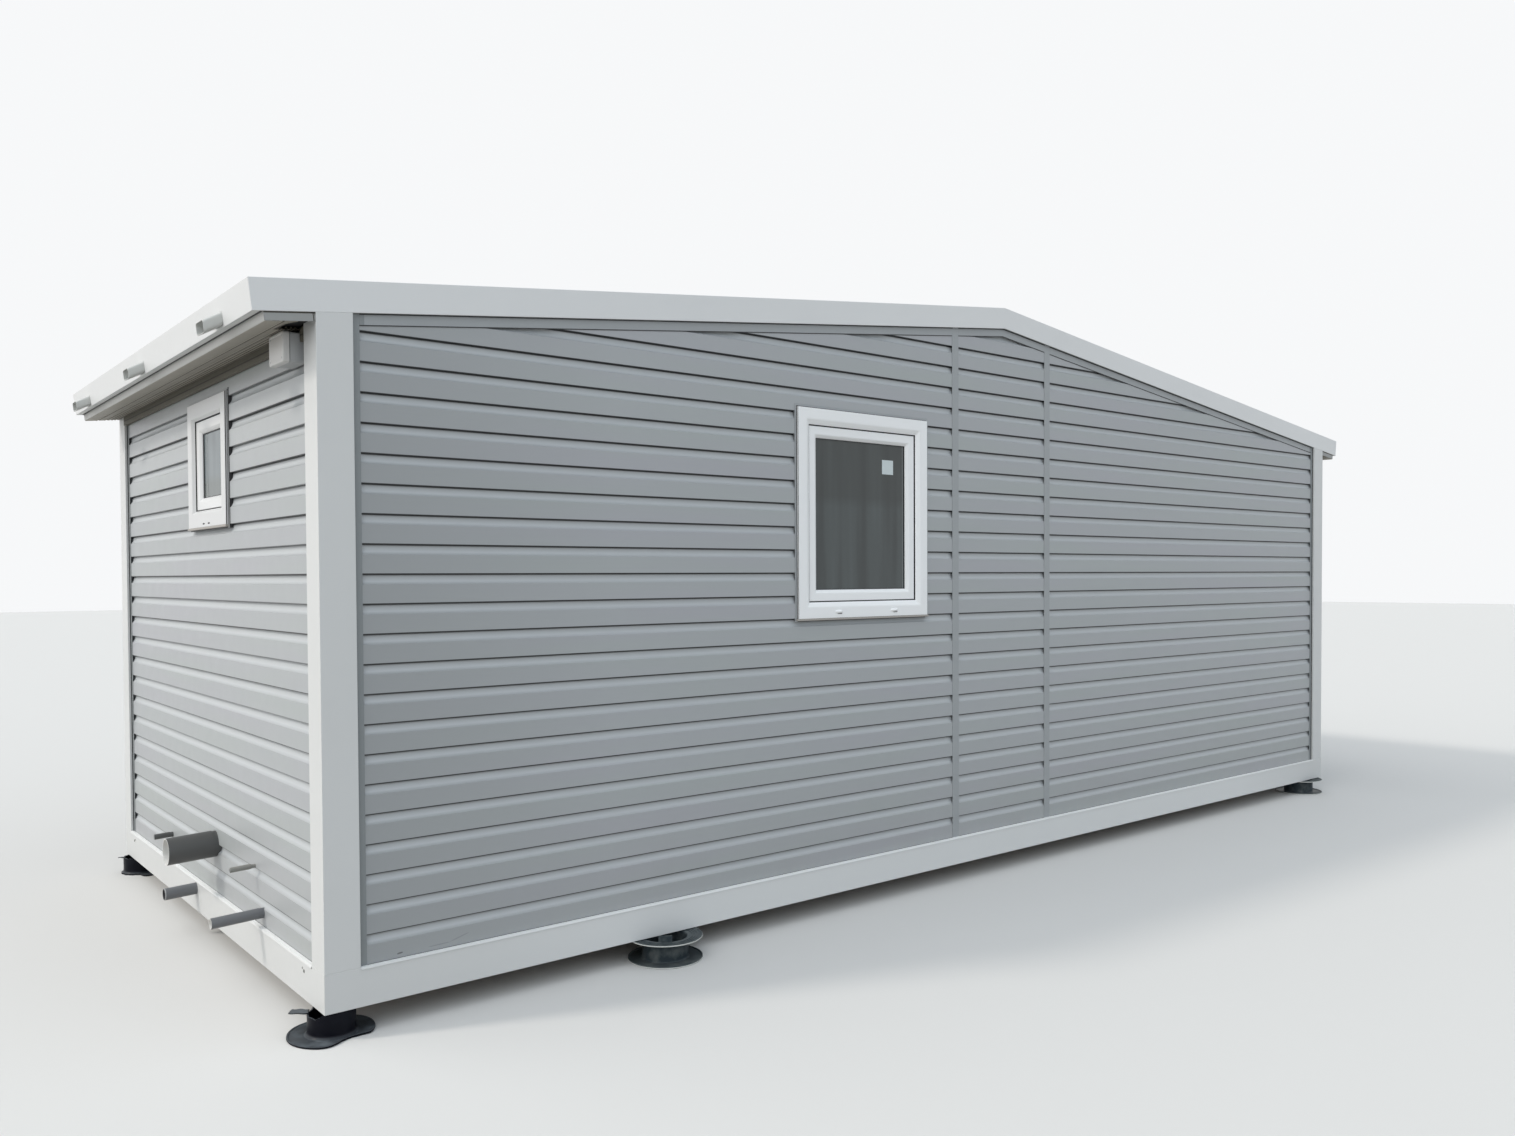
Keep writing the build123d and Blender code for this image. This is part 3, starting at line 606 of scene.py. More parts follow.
# dark strips painted as shade beside the end window: two upright gaps with the trim's flange between them, and a notch
# above: from and to past its right edge, front and back depth, start over its low edge, end over its top edge, cut
endGapShades = ((-0.0008, 0.0048, 0.0132, 0.0160, 0.0, 0.0, 0.0006), (0.0130, 0.0175, 0.0136, 0.0284, -0.013, 0.013, 0.0004),
           (-0.0010, 0.0170, 0.0134, 0.0156, 0.528, 0.008, 0.0010))
endSlots = {"at": (1.598, 1.677), "height": 0.014, "size": (0.046, 0.0105)}
paneLabel = {"low": (2.640, 0.0376, 1.783), "high": (2.714, 0.038, 1.850)}


def frameOutline(slope):
    # (inset, depth) of the frame: flat face, slope towards the sash, step down to it
    w = windowFrame
    front, face, drop, foot = w["setback"], w["face"], w["setback"] + w["slopeDrop"], w["sashFront"] + 0.004
    return softOutline(
        [(0.0, w["back"]), (0.0, front), (face - slope, front), (face - w["fold"], drop), (face, drop + w["fold"]),
         (face, foot), (face - w["step"], foot), (face - w["step"], w["back"])],
        [0.0, 0.0028, 0.005, 0.003, 0.001, 0.0, 0.0, 0.0], 5)


def sashOutline():
    w = windowFrame
    start, end, front, back = w["sashInset"], w["sashInset"] + w["sashFace"], w["sashFront"], w["sashBack"]
    drop = front + w["beadDrop"]
    return softOutline(
        [(start, back), (start, front), (end - w["bead"], front), (end - 0.0025, drop), (end, drop + 0.003),
         (end, w["glassFront"] - 0.0008), (end, back)], [0.0, 0.003, 0.005, 0.003, 0.001, 0.0, 0.0], 5)


def addWindow(title, side, glass, frameFinish, sashFinish):
    w, opening = windowFrame, openings[side]
    left, low, wide, high = opening
    right, top, atEnd = left + wide, low + high, side == "left"
    face, sill, pane, inner = w["face"], low - w["flashing"], w["glassFront"], w["sashInset"] + w["sashFace"]

    def ring(corners, cut, steps):
        return ringShape(opening, softOutline(corners, cut, steps))

    def part(name, shapes, finish, slotName, *replaced, angle=w["fineShade"]):
        add(title + name, shapes, finish, slotName, *replaced, angle=angle, side=side)

    frameRing = ringShape(opening, frameOutline(w["endSlope" if atEnd else "slope"]))
    part("WindowFrame", [frameRing], frameFinish, "window_white", title + "_window_frame", angle=w["shade"])
    part("WindowSash", [ringShape(opening, sashOutline())], sashFinish, "window_white", "window_sashes",
         angle=w["shade"])
    shelf, floor, under = w["sashFront"] + 0.0034, w["sashFront"] + 0.010, w["sashInset"] + 0.006
    seam = [(face - 0.0012, w["seamFrom"]), (face + 0.0007, w["seamFrom"]), (face + 0.0012, shelf), (under, shelf),
            (under, floor), (face - 0.0012, floor)]
    seal = [(inner - 0.002, pane - 0.0042), (inner + w["gasket"], pane - 0.0026), (inner + w["gasket"], pane + 0.001),
            (inner - 0.002, pane + 0.001)]
    seals = [ring(seam, 0.0004, 2), ring(rect(*w["groove"]), 0.0001, 2), ring(seal, 0.0009, 3)]
    # dark strips of painted shade at the frame's outer edge: gaps beside the end window, a bead round the others
    seals += [slabShape((right + a, front, low + under), (right + b, back, top + over), cut)
              for a, b, front, back, under, over, cut in endGapShades] if atEnd else [ring(rect(*w["edgeShade"]), 0.0008, 3)]
    capsAt = [] if atEnd else [left + wide * share for share in w["caps"]]
    capsHigh, slotFront = low + w["capHeight"], w["setback"] - 0.0002
    seals += [padShape((u + 0.006, capsHigh - 0.0085), w["slot"], slotFront, 0.0006, 2.2, 4, 20) for u in capsAt]
    # dark strip under the drip flashing: painted shade
    seals.append(slabShape((left + 0.002, 0.0125, sill - 0.0034), (right - 0.006, 0.0285, sill + 0.0004), 0.0004))
    part("WindowSeals", seals, "gasket", "foot_black")
    part("SpacerLine", [slabShape((right - inner - 0.0125, pane - 0.0004, low + inner + 0.004),
                                  (right - inner - 0.0085, pane + 0.0002, top - inner - 0.004), 0.0001)],
         "spacer", "white_steel")
    edge, thick = inner - 0.008, w["glassThick"]
    part("WindowGlass", [slabShape((left + edge, depth, low + edge), (right - edge, depth + thick, top - edge), 0.0008)
                         for depth in (pane, pane + w["glassGap"])], glass, "pane", "window_panes")
    bar = rect(inner - 0.006, pane + 0.0045, inner + 0.008, pane + 0.0195)
    part("WindowSpacer", [ring(bar, 0.001, 3)], "spacer", "white_steel")
    if capsAt:
        part("DrainCaps", [padShape((u, capsHigh), w["cap"], w["setback"] + 0.0002, 0.0100, 2.6) for u in capsAt],
             "window", "window_white", angle=w["capShade"])
    part("DripFlashing", [slabShape((left - 0.009, 0.0005, sill), (right + 0.006, 0.0155, low - 0.0004), 0.0012, 3)],
         "drip", "spout_metal", angle=meshing["wallShade"])


addWindow("front", "front", "frontGlass", "window", "window")
addWindow("end", "left", "endGlass", "endWindowShaded", "endSashShaded")
addWindow("back", "back", "frontGlass", "window", "window")
add("blankPaneLabel", [slabShape(paneLabel["low"], paneLabel["high"], 0.0001)], "label", "box_white",
    angle=windowFrame["fineShade"], side="front")
add("endDrainSlots", [padShape((u, openings["left"][1] + endSlots["height"]), endSlots["size"],
                               windowFrame["setback"] + 0.0002, 0.0004, 2.2, 4, 20) for u in endSlots["at"]],
    "gasket", "foot_black", angle=windowFrame["capShade"], side="left")
print("windows built")

spout = {"width": 0.090, "height": 0.044, "wall": 0.0025, "reach": 0.060, "drop": 0.034, "top": 0.0527,
         "corner": 0.013, "pitch": 1.140, "rim": 0.0009}


def spoutShape(y, end):
    # rounded box section in (y, down) carried from inside the fascia to its face and on down
    # by (reach, drop); outer loops out, then inner loops back
    inside, face = slopeLength - house["sheet"] - 0.002, slopeLength
    wall, rim, reach, drop = (spout[key] for key in ("wall", "rim", "reach", "drop"))

    def loop(along, inset, out, fall):
        half, top, low = spout["width"] / 2 - inset, spout["top"] + inset, spout["top"] + spout["height"] - inset
        outline = softOutline(rect(-half, top, half, low), spout["corner"] - inset, 6)
        return onSlope(along, outline[:, 1], y + outline[:, 0], end) + np.array([end * out, 0.0, -fall])

    return loopStack([loop(*station) for station in (
        (inside, 0.0, 0, 0), (face, 0.0, 0, 0), (face, 0.0, reach - rim, drop - rim / 2), (face, rim, reach, drop),
        (face, wall - rim, reach, drop), (face, wall, reach - rim, drop - rim / 2), (face, wall, 0, 0),
        (inside, wall, 0, 0))])


add("rainSpoutDucts", [spoutShape(y, end) for end in (-1, 1) for y in (-spout["pitch"], 0.0, spout["pitch"])],
    "spout", "spout_metal", "rain_spouts")
print("spouts built")

sheetRound = {"steel": 0.0016, "endFasciaShaded": 0.0014, "door": 0.0015}
sillLip = {"low": -0.0080, "proud": 0.0034, "back": 0.0134, "high": 0.0012, "under": 0.0002, "face": 0.0004,
           "doorFrom": 1.43, "doorTo": 2.37, "gap": 0.0003}


def lipSection():
    # rolled lip over a sill's upper edge in (depth, height): a face that leans back
    low, proud, back, high, under, face = (sillLip[key] for key in ("low", "proud", "back", "high", "under", "face"))
    return softOutline([(face, low), (-proud, low + 0.0016), (face, high), (back, high), (back, under), (face, under)],
                       [0.0003, 0.0006, 0.0016, 0.0003, 0.0003, 0.0003], 3)


bevelledCopy("postSheets", "corner_posts", "white", sheetRound["steel"])
for side in ("front", "left", "back", "right"):
    bevelledCopy(side + "Sill", "sill_" + side, "sill", sheetRound["steel"])
for side, finish, kind in (("front", "fascia", "steel"), ("back", "fascia", "steel"),
                           ("left", "endFasciaShaded", "endFasciaShaded"), ("right", "endFasciaShaded", "endFasciaShaded")):
    bevelledCopy(side + "Fascia", "fascia_" + side, finish, sheetRound[kind])
lipStart = house["post"] + sillLip["gap"]
add("sillLips", [wallBar(lipSection(), uFrom, uTo, side) for side, uFrom, uTo in (
    ("front", lipStart, house["length"] - lipStart), ("left", lipStart, house["width"] - lipStart),
    ("right", lipStart, house["width"] - lipStart), ("back", lipStart, sillLip["doorFrom"]),
    ("back", sillLip["doorTo"], house["length"] - lipStart))], "sill", "white_steel")
print("folded sheets rounded")

foot = {
    "brim": 0.1505, "hub": 0.0925, "hubWall": 0.006, "flange": 0.005, "lip": 0.004, "shade": 40.0,
    "near": (-3.450, -1.420), "far": (-3.450, 1.420),
    "whole": [(-2.141, -1.5), (-2.141, 1.5), (3.332, -1.42), (3.332, 1.42)],
    "dishRings": (0.109, 0.120, 0.131), "rimBands": (0.0010, 0.0868), "lug": (math.radians(-124.7), 0.29, 0.022),
}
brokenFoot = {
    "hub": 0.0785, "brim": 0.1435, "waist": 0.055, "rimDrop": 0.014, "raise": 0.003, "right": math.radians(-39.4),
    "torn": (math.radians(148), math.radians(18), 0.139), "farTorn": (math.radians(155), math.radians(14), 0.105),
    "tornDrop": 0.010, "steps": 160,
    "biteAt": (-60, -20, -4, 3, 14, 28, 40, 52, 60, 67, 76, 86),
    "biteTo": (0.1435, 0.1385, 0.1350, 0.1325, 0.1080, 0.0940, 0.0915, 0.1015, 0.1125, 0.1240, 0.1385, 0.1435),
}


def spoolProfile():
    # closed (radius, height) section: two flanges with rolled rims on an open hub
    brim, hub, top, wall, f = foot["brim"], foot["hub"], house["footHeight"], foot["hubWall"], foot["flange"]
    lip = f + foot["lip"]
    return softOutline(
        [(hub - wall, 0.0), (brim - 0.002, 0.0), (brim, 0.002), (brim, lip), (brim - 0.005, lip), (brim - 0.006, f),
         (hub + 0.004, f + 0.0005), (hub, f + 0.006), (hub, top - f - 0.006), (hub + 0.004, top - f - 0.0005),
         (brim - 0.002, top - f), (brim, top - f + 0.001), (brim, top), (brim - 0.005, top),
         (brim - 0.006, top - 0.0035), (hub - wall + 0.004, top - 0.0035), (hub - wall, top - 0.0075)],
        [0.0005, 0.001, 0.0005, 0.002, 0.001, 0.0015] + [0.002] * 4 + [0.0008] * 2 + [0.001] * 5, 3)


def smoothStep(x):
    x = np.clip(x, 0.0, 1.0)
    return x * x * (3 - 2 * x)


def jagged(t, size):
    # uneven break: size * the sum of |sin| of three unlike pitches, times 0.5, 0.3 and 0.2
    waves = ((7.3, 0.4, 0.5), (13.1, 1.1, 0.3), (29.7, 0.0, 0.2))
    return size * sum(np.abs(np.sin(pitch * t + start)) * share for pitch, start, share in waves)


def brokenProfile():
    # closed (radius, height) section: the lower flange and a hub that ends at the broken rim
    hub, brim, waist = (brokenFoot[key] for key in ("hub", "brim", "waist"))
    top, wall, f = house["footHeight"] - 0.0005, foot["hubWall"], foot["flange"]
    return softOutline(
        [(hub - wall, 0.0), (brim - 0.002, 0.0), (brim, 0.002), (brim, f + 0.0015), (brim - 0.006, f + 0.0015),
         (brim - 0.008, f), (hub + 0.008, f), (hub, f + 0.010), (hub, waist), (hub, top), (hub - wall * 0.8, top),
         (hub - wall, waist)],
        [0.0005, 0.001, 0.0008, 0.0012, 0.001, 0.001, 0.003, 0.004, 0.001, 0.0008, 0.0008, 0.001], 3)


def hubTo(z, drop, flange):
    # heights over the waist stretch up to the foot's top less the drop; the flange below keeps its own
    waist = brokenFoot["waist"]
    rim = house["footHeight"] - 0.0005 - drop
    return np.where(z > 0.05, waist + smoothStep((z - waist) / 0.03) * (rim - waist), flange)


def bentWave(r, z, t):
    # the brim is broken away in front, down to the radius given for each angle from the picture's right, and
    # the hub's rim is broken low on the outer side
    b, hub = brokenFoot, brokenFoot["hub"] + 0.008
    turn = np.degrees((b["right"] - t + math.pi) % (2 * math.pi) - math.pi)
    up = b["raise"] * smoothStep((50 - turn) / 60) * smoothStep((turn + 150) / 60)
    reach = np.clip((r - hub) / (b["brim"] - hub), 0.0, 1.0)
    warp = np.maximum(0.0016 * np.sin(3 * t + 0.6) * reach, 0.0)
    bite = b["brim"] - np.interp(turn, b["biteAt"], b["biteTo"])
    bite -= np.minimum(bite * 0.3, jagged(t, 0.004))
    outer = smoothStep((np.cos(t - math.radians(171)) - 0.45) / 0.30)
    drop = outer * (b["rimDrop"] + jagged(t, 0.006)) + jagged(t, 0.0015)
    return r - np.where(z < 0.05, reach * bite, 0.0), hubTo(z, drop, z + reach * up + warp)


def chippedWave(r, z, t):
    # both flanges are gone on the side away from the house, down to an uneven stump
    gone = smoothStep((np.cos(t - math.radians(165)) + 0.25) / 0.25)
    stump = brokenFoot["hub"] + 0.005 + jagged(t, 0.007)
    outer = smoothStep((np.cos(t - math.radians(150)) + 0.2) / 0.5)
    return np.where(r > stump, r + gone * (stump - r), r), hubTo(z, outer * (0.006 + jagged(t, 0.005)), z)


def tornFlap(centre, facing, halfWide, reach):
    # what is left of the upper flange: a strip with nearly even sides that hangs a little
    a, radial = np.linspace(-1.0, 1.0, 9)[None, :], np.linspace(0.0, 1.0, 10)[:, None]
    hub = brokenFoot["hub"] - 0.003
    r = hub + radial * (reach - hub) * (1 - 0.12 * np.abs(np.sin(5 * a + 1)))
    angle = facing + a * halfWide * (1 - 0.42 * radial) + 0.15 * (1 - radial) + 0.03 * np.sin(9 * radial)
    z = house["footHeight"] - brokenFoot["tornDrop"] - 0.001 * radial + 0.002 * a
    top = np.stack([centre[0] + r * np.cos(angle), centre[1] + r * np.sin(angle), z], -1)
    low = top[:, ::-1].copy()
    low[..., 2] -= 0.0042 - 0.0022 * radial
    return ribbonShape(np.concatenate([top, low], 1))


def upturnedLug(centre, facing, halfWide, height):
    # short curved tab standing on the upper flange at the edge of the hub's opening
    angle = facing + np.linspace(-halfWide, halfWide, 9)
    r, a = np.repeat([0.094, 0.089], 9), np.concatenate([angle, angle[::-1]])
    plan = np.stack([centre[0] + r * np.cos(a), centre[1] + r * np.sin(a)], -1)
    heights = [house["footHeight"] + z for z in (-0.006, height * 0.6, height)]
    return ribbonShape([np.insert(plan, 2, z, axis=1) for z in heights])


def flangeRing(radius):
    # low moulded ring in the dish of the upper flange: a square section in (radius, height)
    top = house["footHeight"] - 0.0040
    return softOutline(rect(radius - 0.0014, top, radius + 0.0014, top + 0.0024), 0.0005, 2)


def wornRim(z):
    # scuffed edge of a flange: a thin band in (radius, height) just proud of the rim
    return softOutline([(0.1494, z), (0.1508, z + 0.0004), (0.1508, z + 0.0046), (0.1494, z + 0.0050)], 0.0004, 2)


spools = [turnedShape(spoolProfile(), centre) for centre in foot["whole"]]
spools += [turnedShape(flangeRing(radius), centre) for centre in foot["whole"] for radius in foot["dishRings"]]
spools.append(upturnedLug(foot["whole"][0], *foot["lug"]))
add("footSpools", spools, "footDusty", "foot_black", "feet", angle=foot["shade"])
add("footWornRims", [turnedShape(wornRim(z), centre) for centre in foot["whole"] for z in foot["rimBands"]],
    "footRim", "foot_black", angle=foot["shade"])
add("brokenFeet", [turnedShape(brokenProfile(), foot["near"], brokenFoot["steps"], bentWave),
                   turnedShape(brokenProfile(), foot["far"], brokenFoot["steps"], chippedWave),
                   tornFlap(foot["near"], *brokenFoot["torn"]), tornFlap(foot["far"], *brokenFoot["farTorn"])],
    "foot", "foot_black", "feet", angle=foot["shade"])
print("feet built")

soffit = {
    "outer": 0.035, "drop": 0.030, "thickness": 0.0018, "legRound": 0.003, "gapFrom": 0.0265, "gapTo": 0.0345,
    "grooves": ((0.385, 0.0042), (0.615, 0.0042), (0.735, 0.0040), (0.83, 0.0040), (0.915, 0.0040)), "deep": 0.0080,
    "cornerOpens": ((-1.4930, 0.66), (-1.4780, 0.58), (-1.4500, 0.50), (-1.4020, 0.455), (-1.3400, 0.45)),
    "backing": 0.012, "backingLong": 0.19, "panelShade": 20.0, "hollowShade": 35.0,
}
wallChannel = {"low": 2.0960, "shelf": 2.1372, "top": 2.1458, "proud": 0.0030, "back": 0.0136, "line": 2.1140,
               "lineHigh": 0.0050, "boxFrom": 2.6990, "boxTo": 2.8510, "gap": 0.0004}
eaveOuter, eaveLow, wallLine = slopeLength - soffit["outer"], house["fascia"] + soffit["drop"], halfLength / slopeCos
eaveInner = wallLine + eaveLow * slopeTan
eaveTop = house["fascia"] + 0.0004


def soffitShape(end, stops):
    # line from the top of the outer leg, down, and along the slope towards the wall, with V grooves at shares
    # of the depth, up to the share that each (y, share) stop gives; the sections are carried along the eave
    low, line = eaveLow, [(eaveOuter - soffit["legRound"], eaveLow)]
    for share, half in soffit["grooves"]:
        if share < min(stop[1] for stop in stops) - 0.03:
            middle, foot = eaveOuter - (eaveOuter - eaveInner) * share, half * 0.4
            line += [(middle + half, low), (middle + foot, low - soffit["deep"]), (middle - foot, low - soffit["deep"]),
                     (middle - half, low)]
    return ribbonShape([slopeLoop(sheetSection(line + [(eaveOuter - (eaveOuter - eaveInner) * share, low)],
                                               -soffit["thickness"]), y, end) for y, share in stops])


def soffitPanels(end):
    # whole panel, or at the left end one whose inner corner near the front post is open
    yEnd, opens = sheetEdge - 0.0014, soffit["cornerOpens"]
    if end > 0:
        return [soffitShape(end, [(-yEnd, 1.0), (0.0, 1.0), (yEnd, 1.0)])]
    return [soffitShape(end, [(-yEnd, opens[0][1]), *opens]),
            soffitShape(end, [(opens[-1][0], 1.0), (0.0, 1.0), (yEnd, 1.0)])]


def soffitEnds(end):
    # upright strips that close both ends of a soffit, following the slope
    outer, low = eaveOuter - 0.0005, eaveLow - 0.0006
    inner = wallLine + low * slopeTan
    corners = softOutline([(outer, eaveTop), (outer, low), (inner, low), (inner, eaveTop)], 0.0005, 2)
    middle = np.tile(corners.mean(0), (len(corners), 1))
    edge, back = sheetEdge - 0.0002, sheetEdge - 0.0022
    return [loopStack([slopeLoop(loop, side * y, end) for loop, y in (
        (middle, edge), (corners, edge), (corners, back), (middle, back))]) for side in (-1, 1)]


def soffitLeg(end):
    # light edge of the soffit, hung under the gutter, with a rounded foot
    outer, low, r, t = eaveOuter, eaveLow, soffit["legRound"], soffit["thickness"]
    section = softOutline([(outer, eaveTop), (outer, low), (outer - 2 * r, low), (outer - 2 * r, low - t),
                           (outer - t, low - t), (outer - t, eaveTop)], [0.0, r * 0.6, 0.0, 0.0, 0.0, 0.0], 5)
    return slopeBar(section, -(sheetEdge - 0.0007), sheetEdge - 0.0007, end, False)


def grooveStrips(end, fromMiddle, toMiddle, proud):
    # strip along each groove between two distances from its middle: painted shade in and behind it, or the rib on its
    # outer edge, whose paler colour is a painted highlight
    strips = []
    for share, _ in soffit["grooves"]:
        middle = eaveOuter - (eaveOuter - eaveInner) * share
        start = soffit["cornerOpens"][-1][0] if end < 0 and share > 0.45 else -(sheetEdge - 0.002)
        section = rect(middle + fromMiddle, eaveLow + proud, middle + toMiddle, eaveLow - 0.0022)
        strips.append(slopeBar(section, start, sheetEdge - 0.002, end))
    return strips


def endLines(end):
    # dark strip of painted shade between the front sheet and the soffit's end strip, and a short upright one beside the
    # post
    strips, y = [], sheetEdge + np.array([0.0002, 0.0002, -0.0008, -0.0008])
    for thick, inner, outer in ((0.0044, wallLine + eaveTop * slopeTan, eaveOuter - 0.001),
                                (soffit["drop"] - 0.0012, wallLine + 0.0185, wallLine + 0.0215)):
        down = eaveTop + thick * np.array([0.0, 1.0, 1.0, 0.0])
        strips += [ribbonShape([onSlope(along, down, side * y, end) for along in (inner, outer)]) for side in (-1, 1)]
    return strips


def gutterGapShade(end):
    # dark strip between the gutter and the soffit's edge: painted shade
    far, near = slopeLength - soffit["gapFrom"], slopeLength - soffit["gapTo"]
    low, high = house["fascia"] + 0.0008, house["fascia"] - 0.0005
    section = softOutline([(far, high), (far, low), (near, low), (near, high)], 0.0003, 2)
    return slopeBar(section, -(sheetEdge - 0.0004), sheetEdge - 0.0004, end, False)


def channelSections():
    # channel between soffit and wall in (depth, height), dark olive as painted shade: a strip with a step behind the
    # soffit, and a line on it
    c = wallChannel
    body = softOutline([(c["back"], c["low"]), (-c["proud"], c["low"]), (-c["proud"], c["shelf"]), (0.0010, c["shelf"]),
                        (0.0010, c["top"]), (c["back"], c["top"])], [0.0004, 0.0012, 0.0006, 0.0004, 0.0004, 0.0004], 3)
    return body, rect(0.0, c["line"], -c["proud"] - 0.0003, c["line"] + c["lineHigh"])


channelStart, channelEnd = house["post"] + wallChannel["gap"], house["width"] - house["post"] - wallChannel["gap"]
channelSpans = [(channelStart, wallChannel["boxFrom"], "left"), (wallChannel["boxTo"], channelEnd, "left"),
                (channelStart, channelEnd, "right")]
for title, finish, section in zip(("soffitWallChannels", "soffitWallLines"), ("channel", "groove"), channelSections()):
    add(title, [wallBar(section, *span) for span in channelSpans], finish, "soffit_grey")
add("gutterGaps", [gutterGapShade(-1), gutterGapShade(1)], "gasket", "foot_black")
for title, node, end in (("leftSoffit", "soffit_left", -1), ("rightSoffit", "soffit_right", 1)):
    add(title + "Leg", [soffitLeg(end)], "soffitEdge", "soffit_grey")
    add(title + "Grooves", grooveStrips(end, -0.0240, 0.0062, 0.0002), "groove", "soffit_grey")
    add(title + "Ridges", grooveStrips(end, 0.0066, 0.0096, 0.0030), "soffitRidgeLit", "soffit_grey")
    add(title + "EndLines", endLines(end), "groove", "soffit_grey")
    add(title + "Panel", soffitPanels(end), "soffit", "soffit_grey", node, angle=soffit["panelShade"])
    add(title + "Ends", soffitEnds(end), "soffitStrip", "soffit_grey", node)
# black board above the open corner, parallel to the panel: painted deep shade inside the hollow
boardLow, boardStart = eaveLow - soffit["backing"], -(sheetEdge - 0.004)
board = slopeBar(rect(eaveOuter - 0.05, boardLow, wallLine + 0.004, boardLow - 0.001), boardStart,
                 boardStart + soffit["backingLong"], -1)
add("soffitHollow", [board], "hollow", "soffit_grey", angle=soffit["hollowShade"])
print("soffits built")

junctionBox = {"left": 2.700, "right": 2.850, "low": 2.024, "high": 2.1289, "back": 0.0158, "joint": -0.0382,
               "front": -0.0582, "corner": 0.010, "screwsAcross": (2.716, 2.834), "screwsUp": (2.040, 2.1129),
               "screwSize": (0.009, 0.009), "screwShade": 50.0}


def boxStack(start, levels):
    # rounded rectangles, each drawn in by an inset at a depth, closed by the middle point at the start and the end
    b, loops = junctionBox, []
    for inset, depth in levels:
        sides = rect(b["left"] + inset, b["low"] + inset, b["right"] - inset, b["high"] - inset)
        loops.append(np.insert(softOutline(sides, max(b["corner"] - inset, 0.001), 6), 1, depth, axis=1))
    ends = [np.tile([(b["left"] + b["right"]) / 2, depth, (b["low"] + b["high"]) / 2], (len(loops[0]), 1))
            for depth in (start, levels[-1][1])]
    return loopStack([ends[0], *loops, ends[1]])


back, joint, front = (junctionBox[key] for key in ("back", "joint", "front"))
add("junctionBoxBody", [boxStack(back, [(0.002, back), (0.0022, joint + 0.004), (0.0045, joint + 0.003),
                                        (0.0045, joint - 0.001)])], "boxGrey", "box_grey", "junction_box", side="left")
add("junctionBoxCover", [boxStack(joint, [
    (0.0015, joint + 0.0015), (0.0, joint + 0.0005), (0.0006, front + 0.005), (0.0018, front + 0.0016), (0.0045, front),
    (0.0105, front), (0.0115, front + 0.001)])], "boxWhite", "box_white", "junction_box_lid", side="left")
add("junctionBoxScrews", [padShape((u, z), junctionBox["screwSize"], front + 0.0012, 0.0016, 2.0, 5, 20)
                          for u in junctionBox["screwsAcross"] for z in junctionBox["screwsUp"]],
    "boxGrey", "box_grey", angle=junctionBox["screwShade"], side="left")
print("junction box built")

# distance from the front face, height over the sill, radius, wall, reach beyond the wall's face, node and looks
pipes = {
    "waste": (1.344, 0.201, 0.055, 0.0032, 0.174, "waste_pipe", "pipe", "lining"),
    "sink": (1.598, -0.036, 0.025, 0.0024, 0.128, "sink_pipe", "pipeMid", "gasket"),
    "basin": (0.704, 0.051, 0.020, 0.0022, 0.170, "basin_pipe", "pipeMid", "lining"),
    "water": (2.064, 0.119, 0.0125, 0.002, 0.064, "small_pipes", "pipe", "pipeRim"),
    "vent": (0.796, 0.211, 0.0100, 0.004, 0.077, "small_pipes", "pipeLight", "pipeRim"),
}
pipeCut = {"chamfer": 0.0012, "lining": 0.07, "inWall": 0.088, "fall": 0.045}


def fallingPipe(profile, fromFront, height):
    # a turned (radius, depth) profile that sinks outwards: height - fall * reach
    points, quads = pipeShape(profile, (house["width"] - fromFront, height))
    points[:, 2] -= pipeCut["fall"] * np.maximum(-points[:, 1], 0.0)
    return points, quads


for title, (fromFront, height, radius, wall, reach, node, finish, inside) in pipes.items():
    # tube with a chamfered cut end, thinner inside the wall, and its lining
    bore, edge, inWall = radius - wall, radius - pipeCut["chamfer"], pipeCut["inWall"]
    neck, deep = min(radius - 0.001, bore + 0.0012), -reach + min(pipeCut["lining"], reach)
    tube = [(bore, -reach), (edge, -reach), (radius, -reach + 2 * pipeCut["chamfer"]), (radius, -0.0002), (neck, 0.0),
            (neck, inWall), (bore, inWall)]
    lining = [(bore - 0.0004, -reach - 0.0002), (edge, -reach - 0.0002), (edge, -reach + 0.0002),
              (bore + 0.0003, -reach + 0.0003), (bore + 0.0003, deep), (bore - 0.0004, deep)]
    add(title + "PipeStub", [fallingPipe(tube, fromFront, height)], finish,
        "pipe_light" if finish == "pipeLight" else "pipe_grey", node, side="left")
    add(title + "PipeLining", [fallingPipe(lining, fromFront, height)], inside, "pipe_light", side="left")
fromFront, height, radius, wall, reach = pipes["sink"][:5]
cutEdge = softOutline(rect(radius - 0.0022, -reach - 0.0006, radius + 0.0004, -reach + 0.0040), 0.0004, 2)
add("sinkPipeCutEdge", [fallingPipe(cutEdge, fromFront, height)], "pipeRim", "pipe_light", side="left")
print("pipes built")

# painted shade lines under the roof line on the long walls: how far down, and from which depth to which
rakeLines = ((house["fascia"] + 0.0002, 0.0100, 0.0144), (house["fascia"] + 0.0372, 0.0134, 0.0170))
rake = {"edge": 0.0264, "strip": 0.0234, "thick": 0.0030}


def rakeShadeLine(uFrom, uTo, down, near, far):
    # dark line of painted shade that follows the roof's slope on a long wall, as a closed bar
    stations = []
    for u in (uFrom, uTo):
        top = ridgeTop - house["sillTop"] - abs(u - halfLength) * slopeTan - down / slopeCos
        stations.append([(u, near, top), (u, near, top - rake["thick"]), (u, far, top - rake["thick"]), (u, far, top)])
    return ribbonShape(stations)


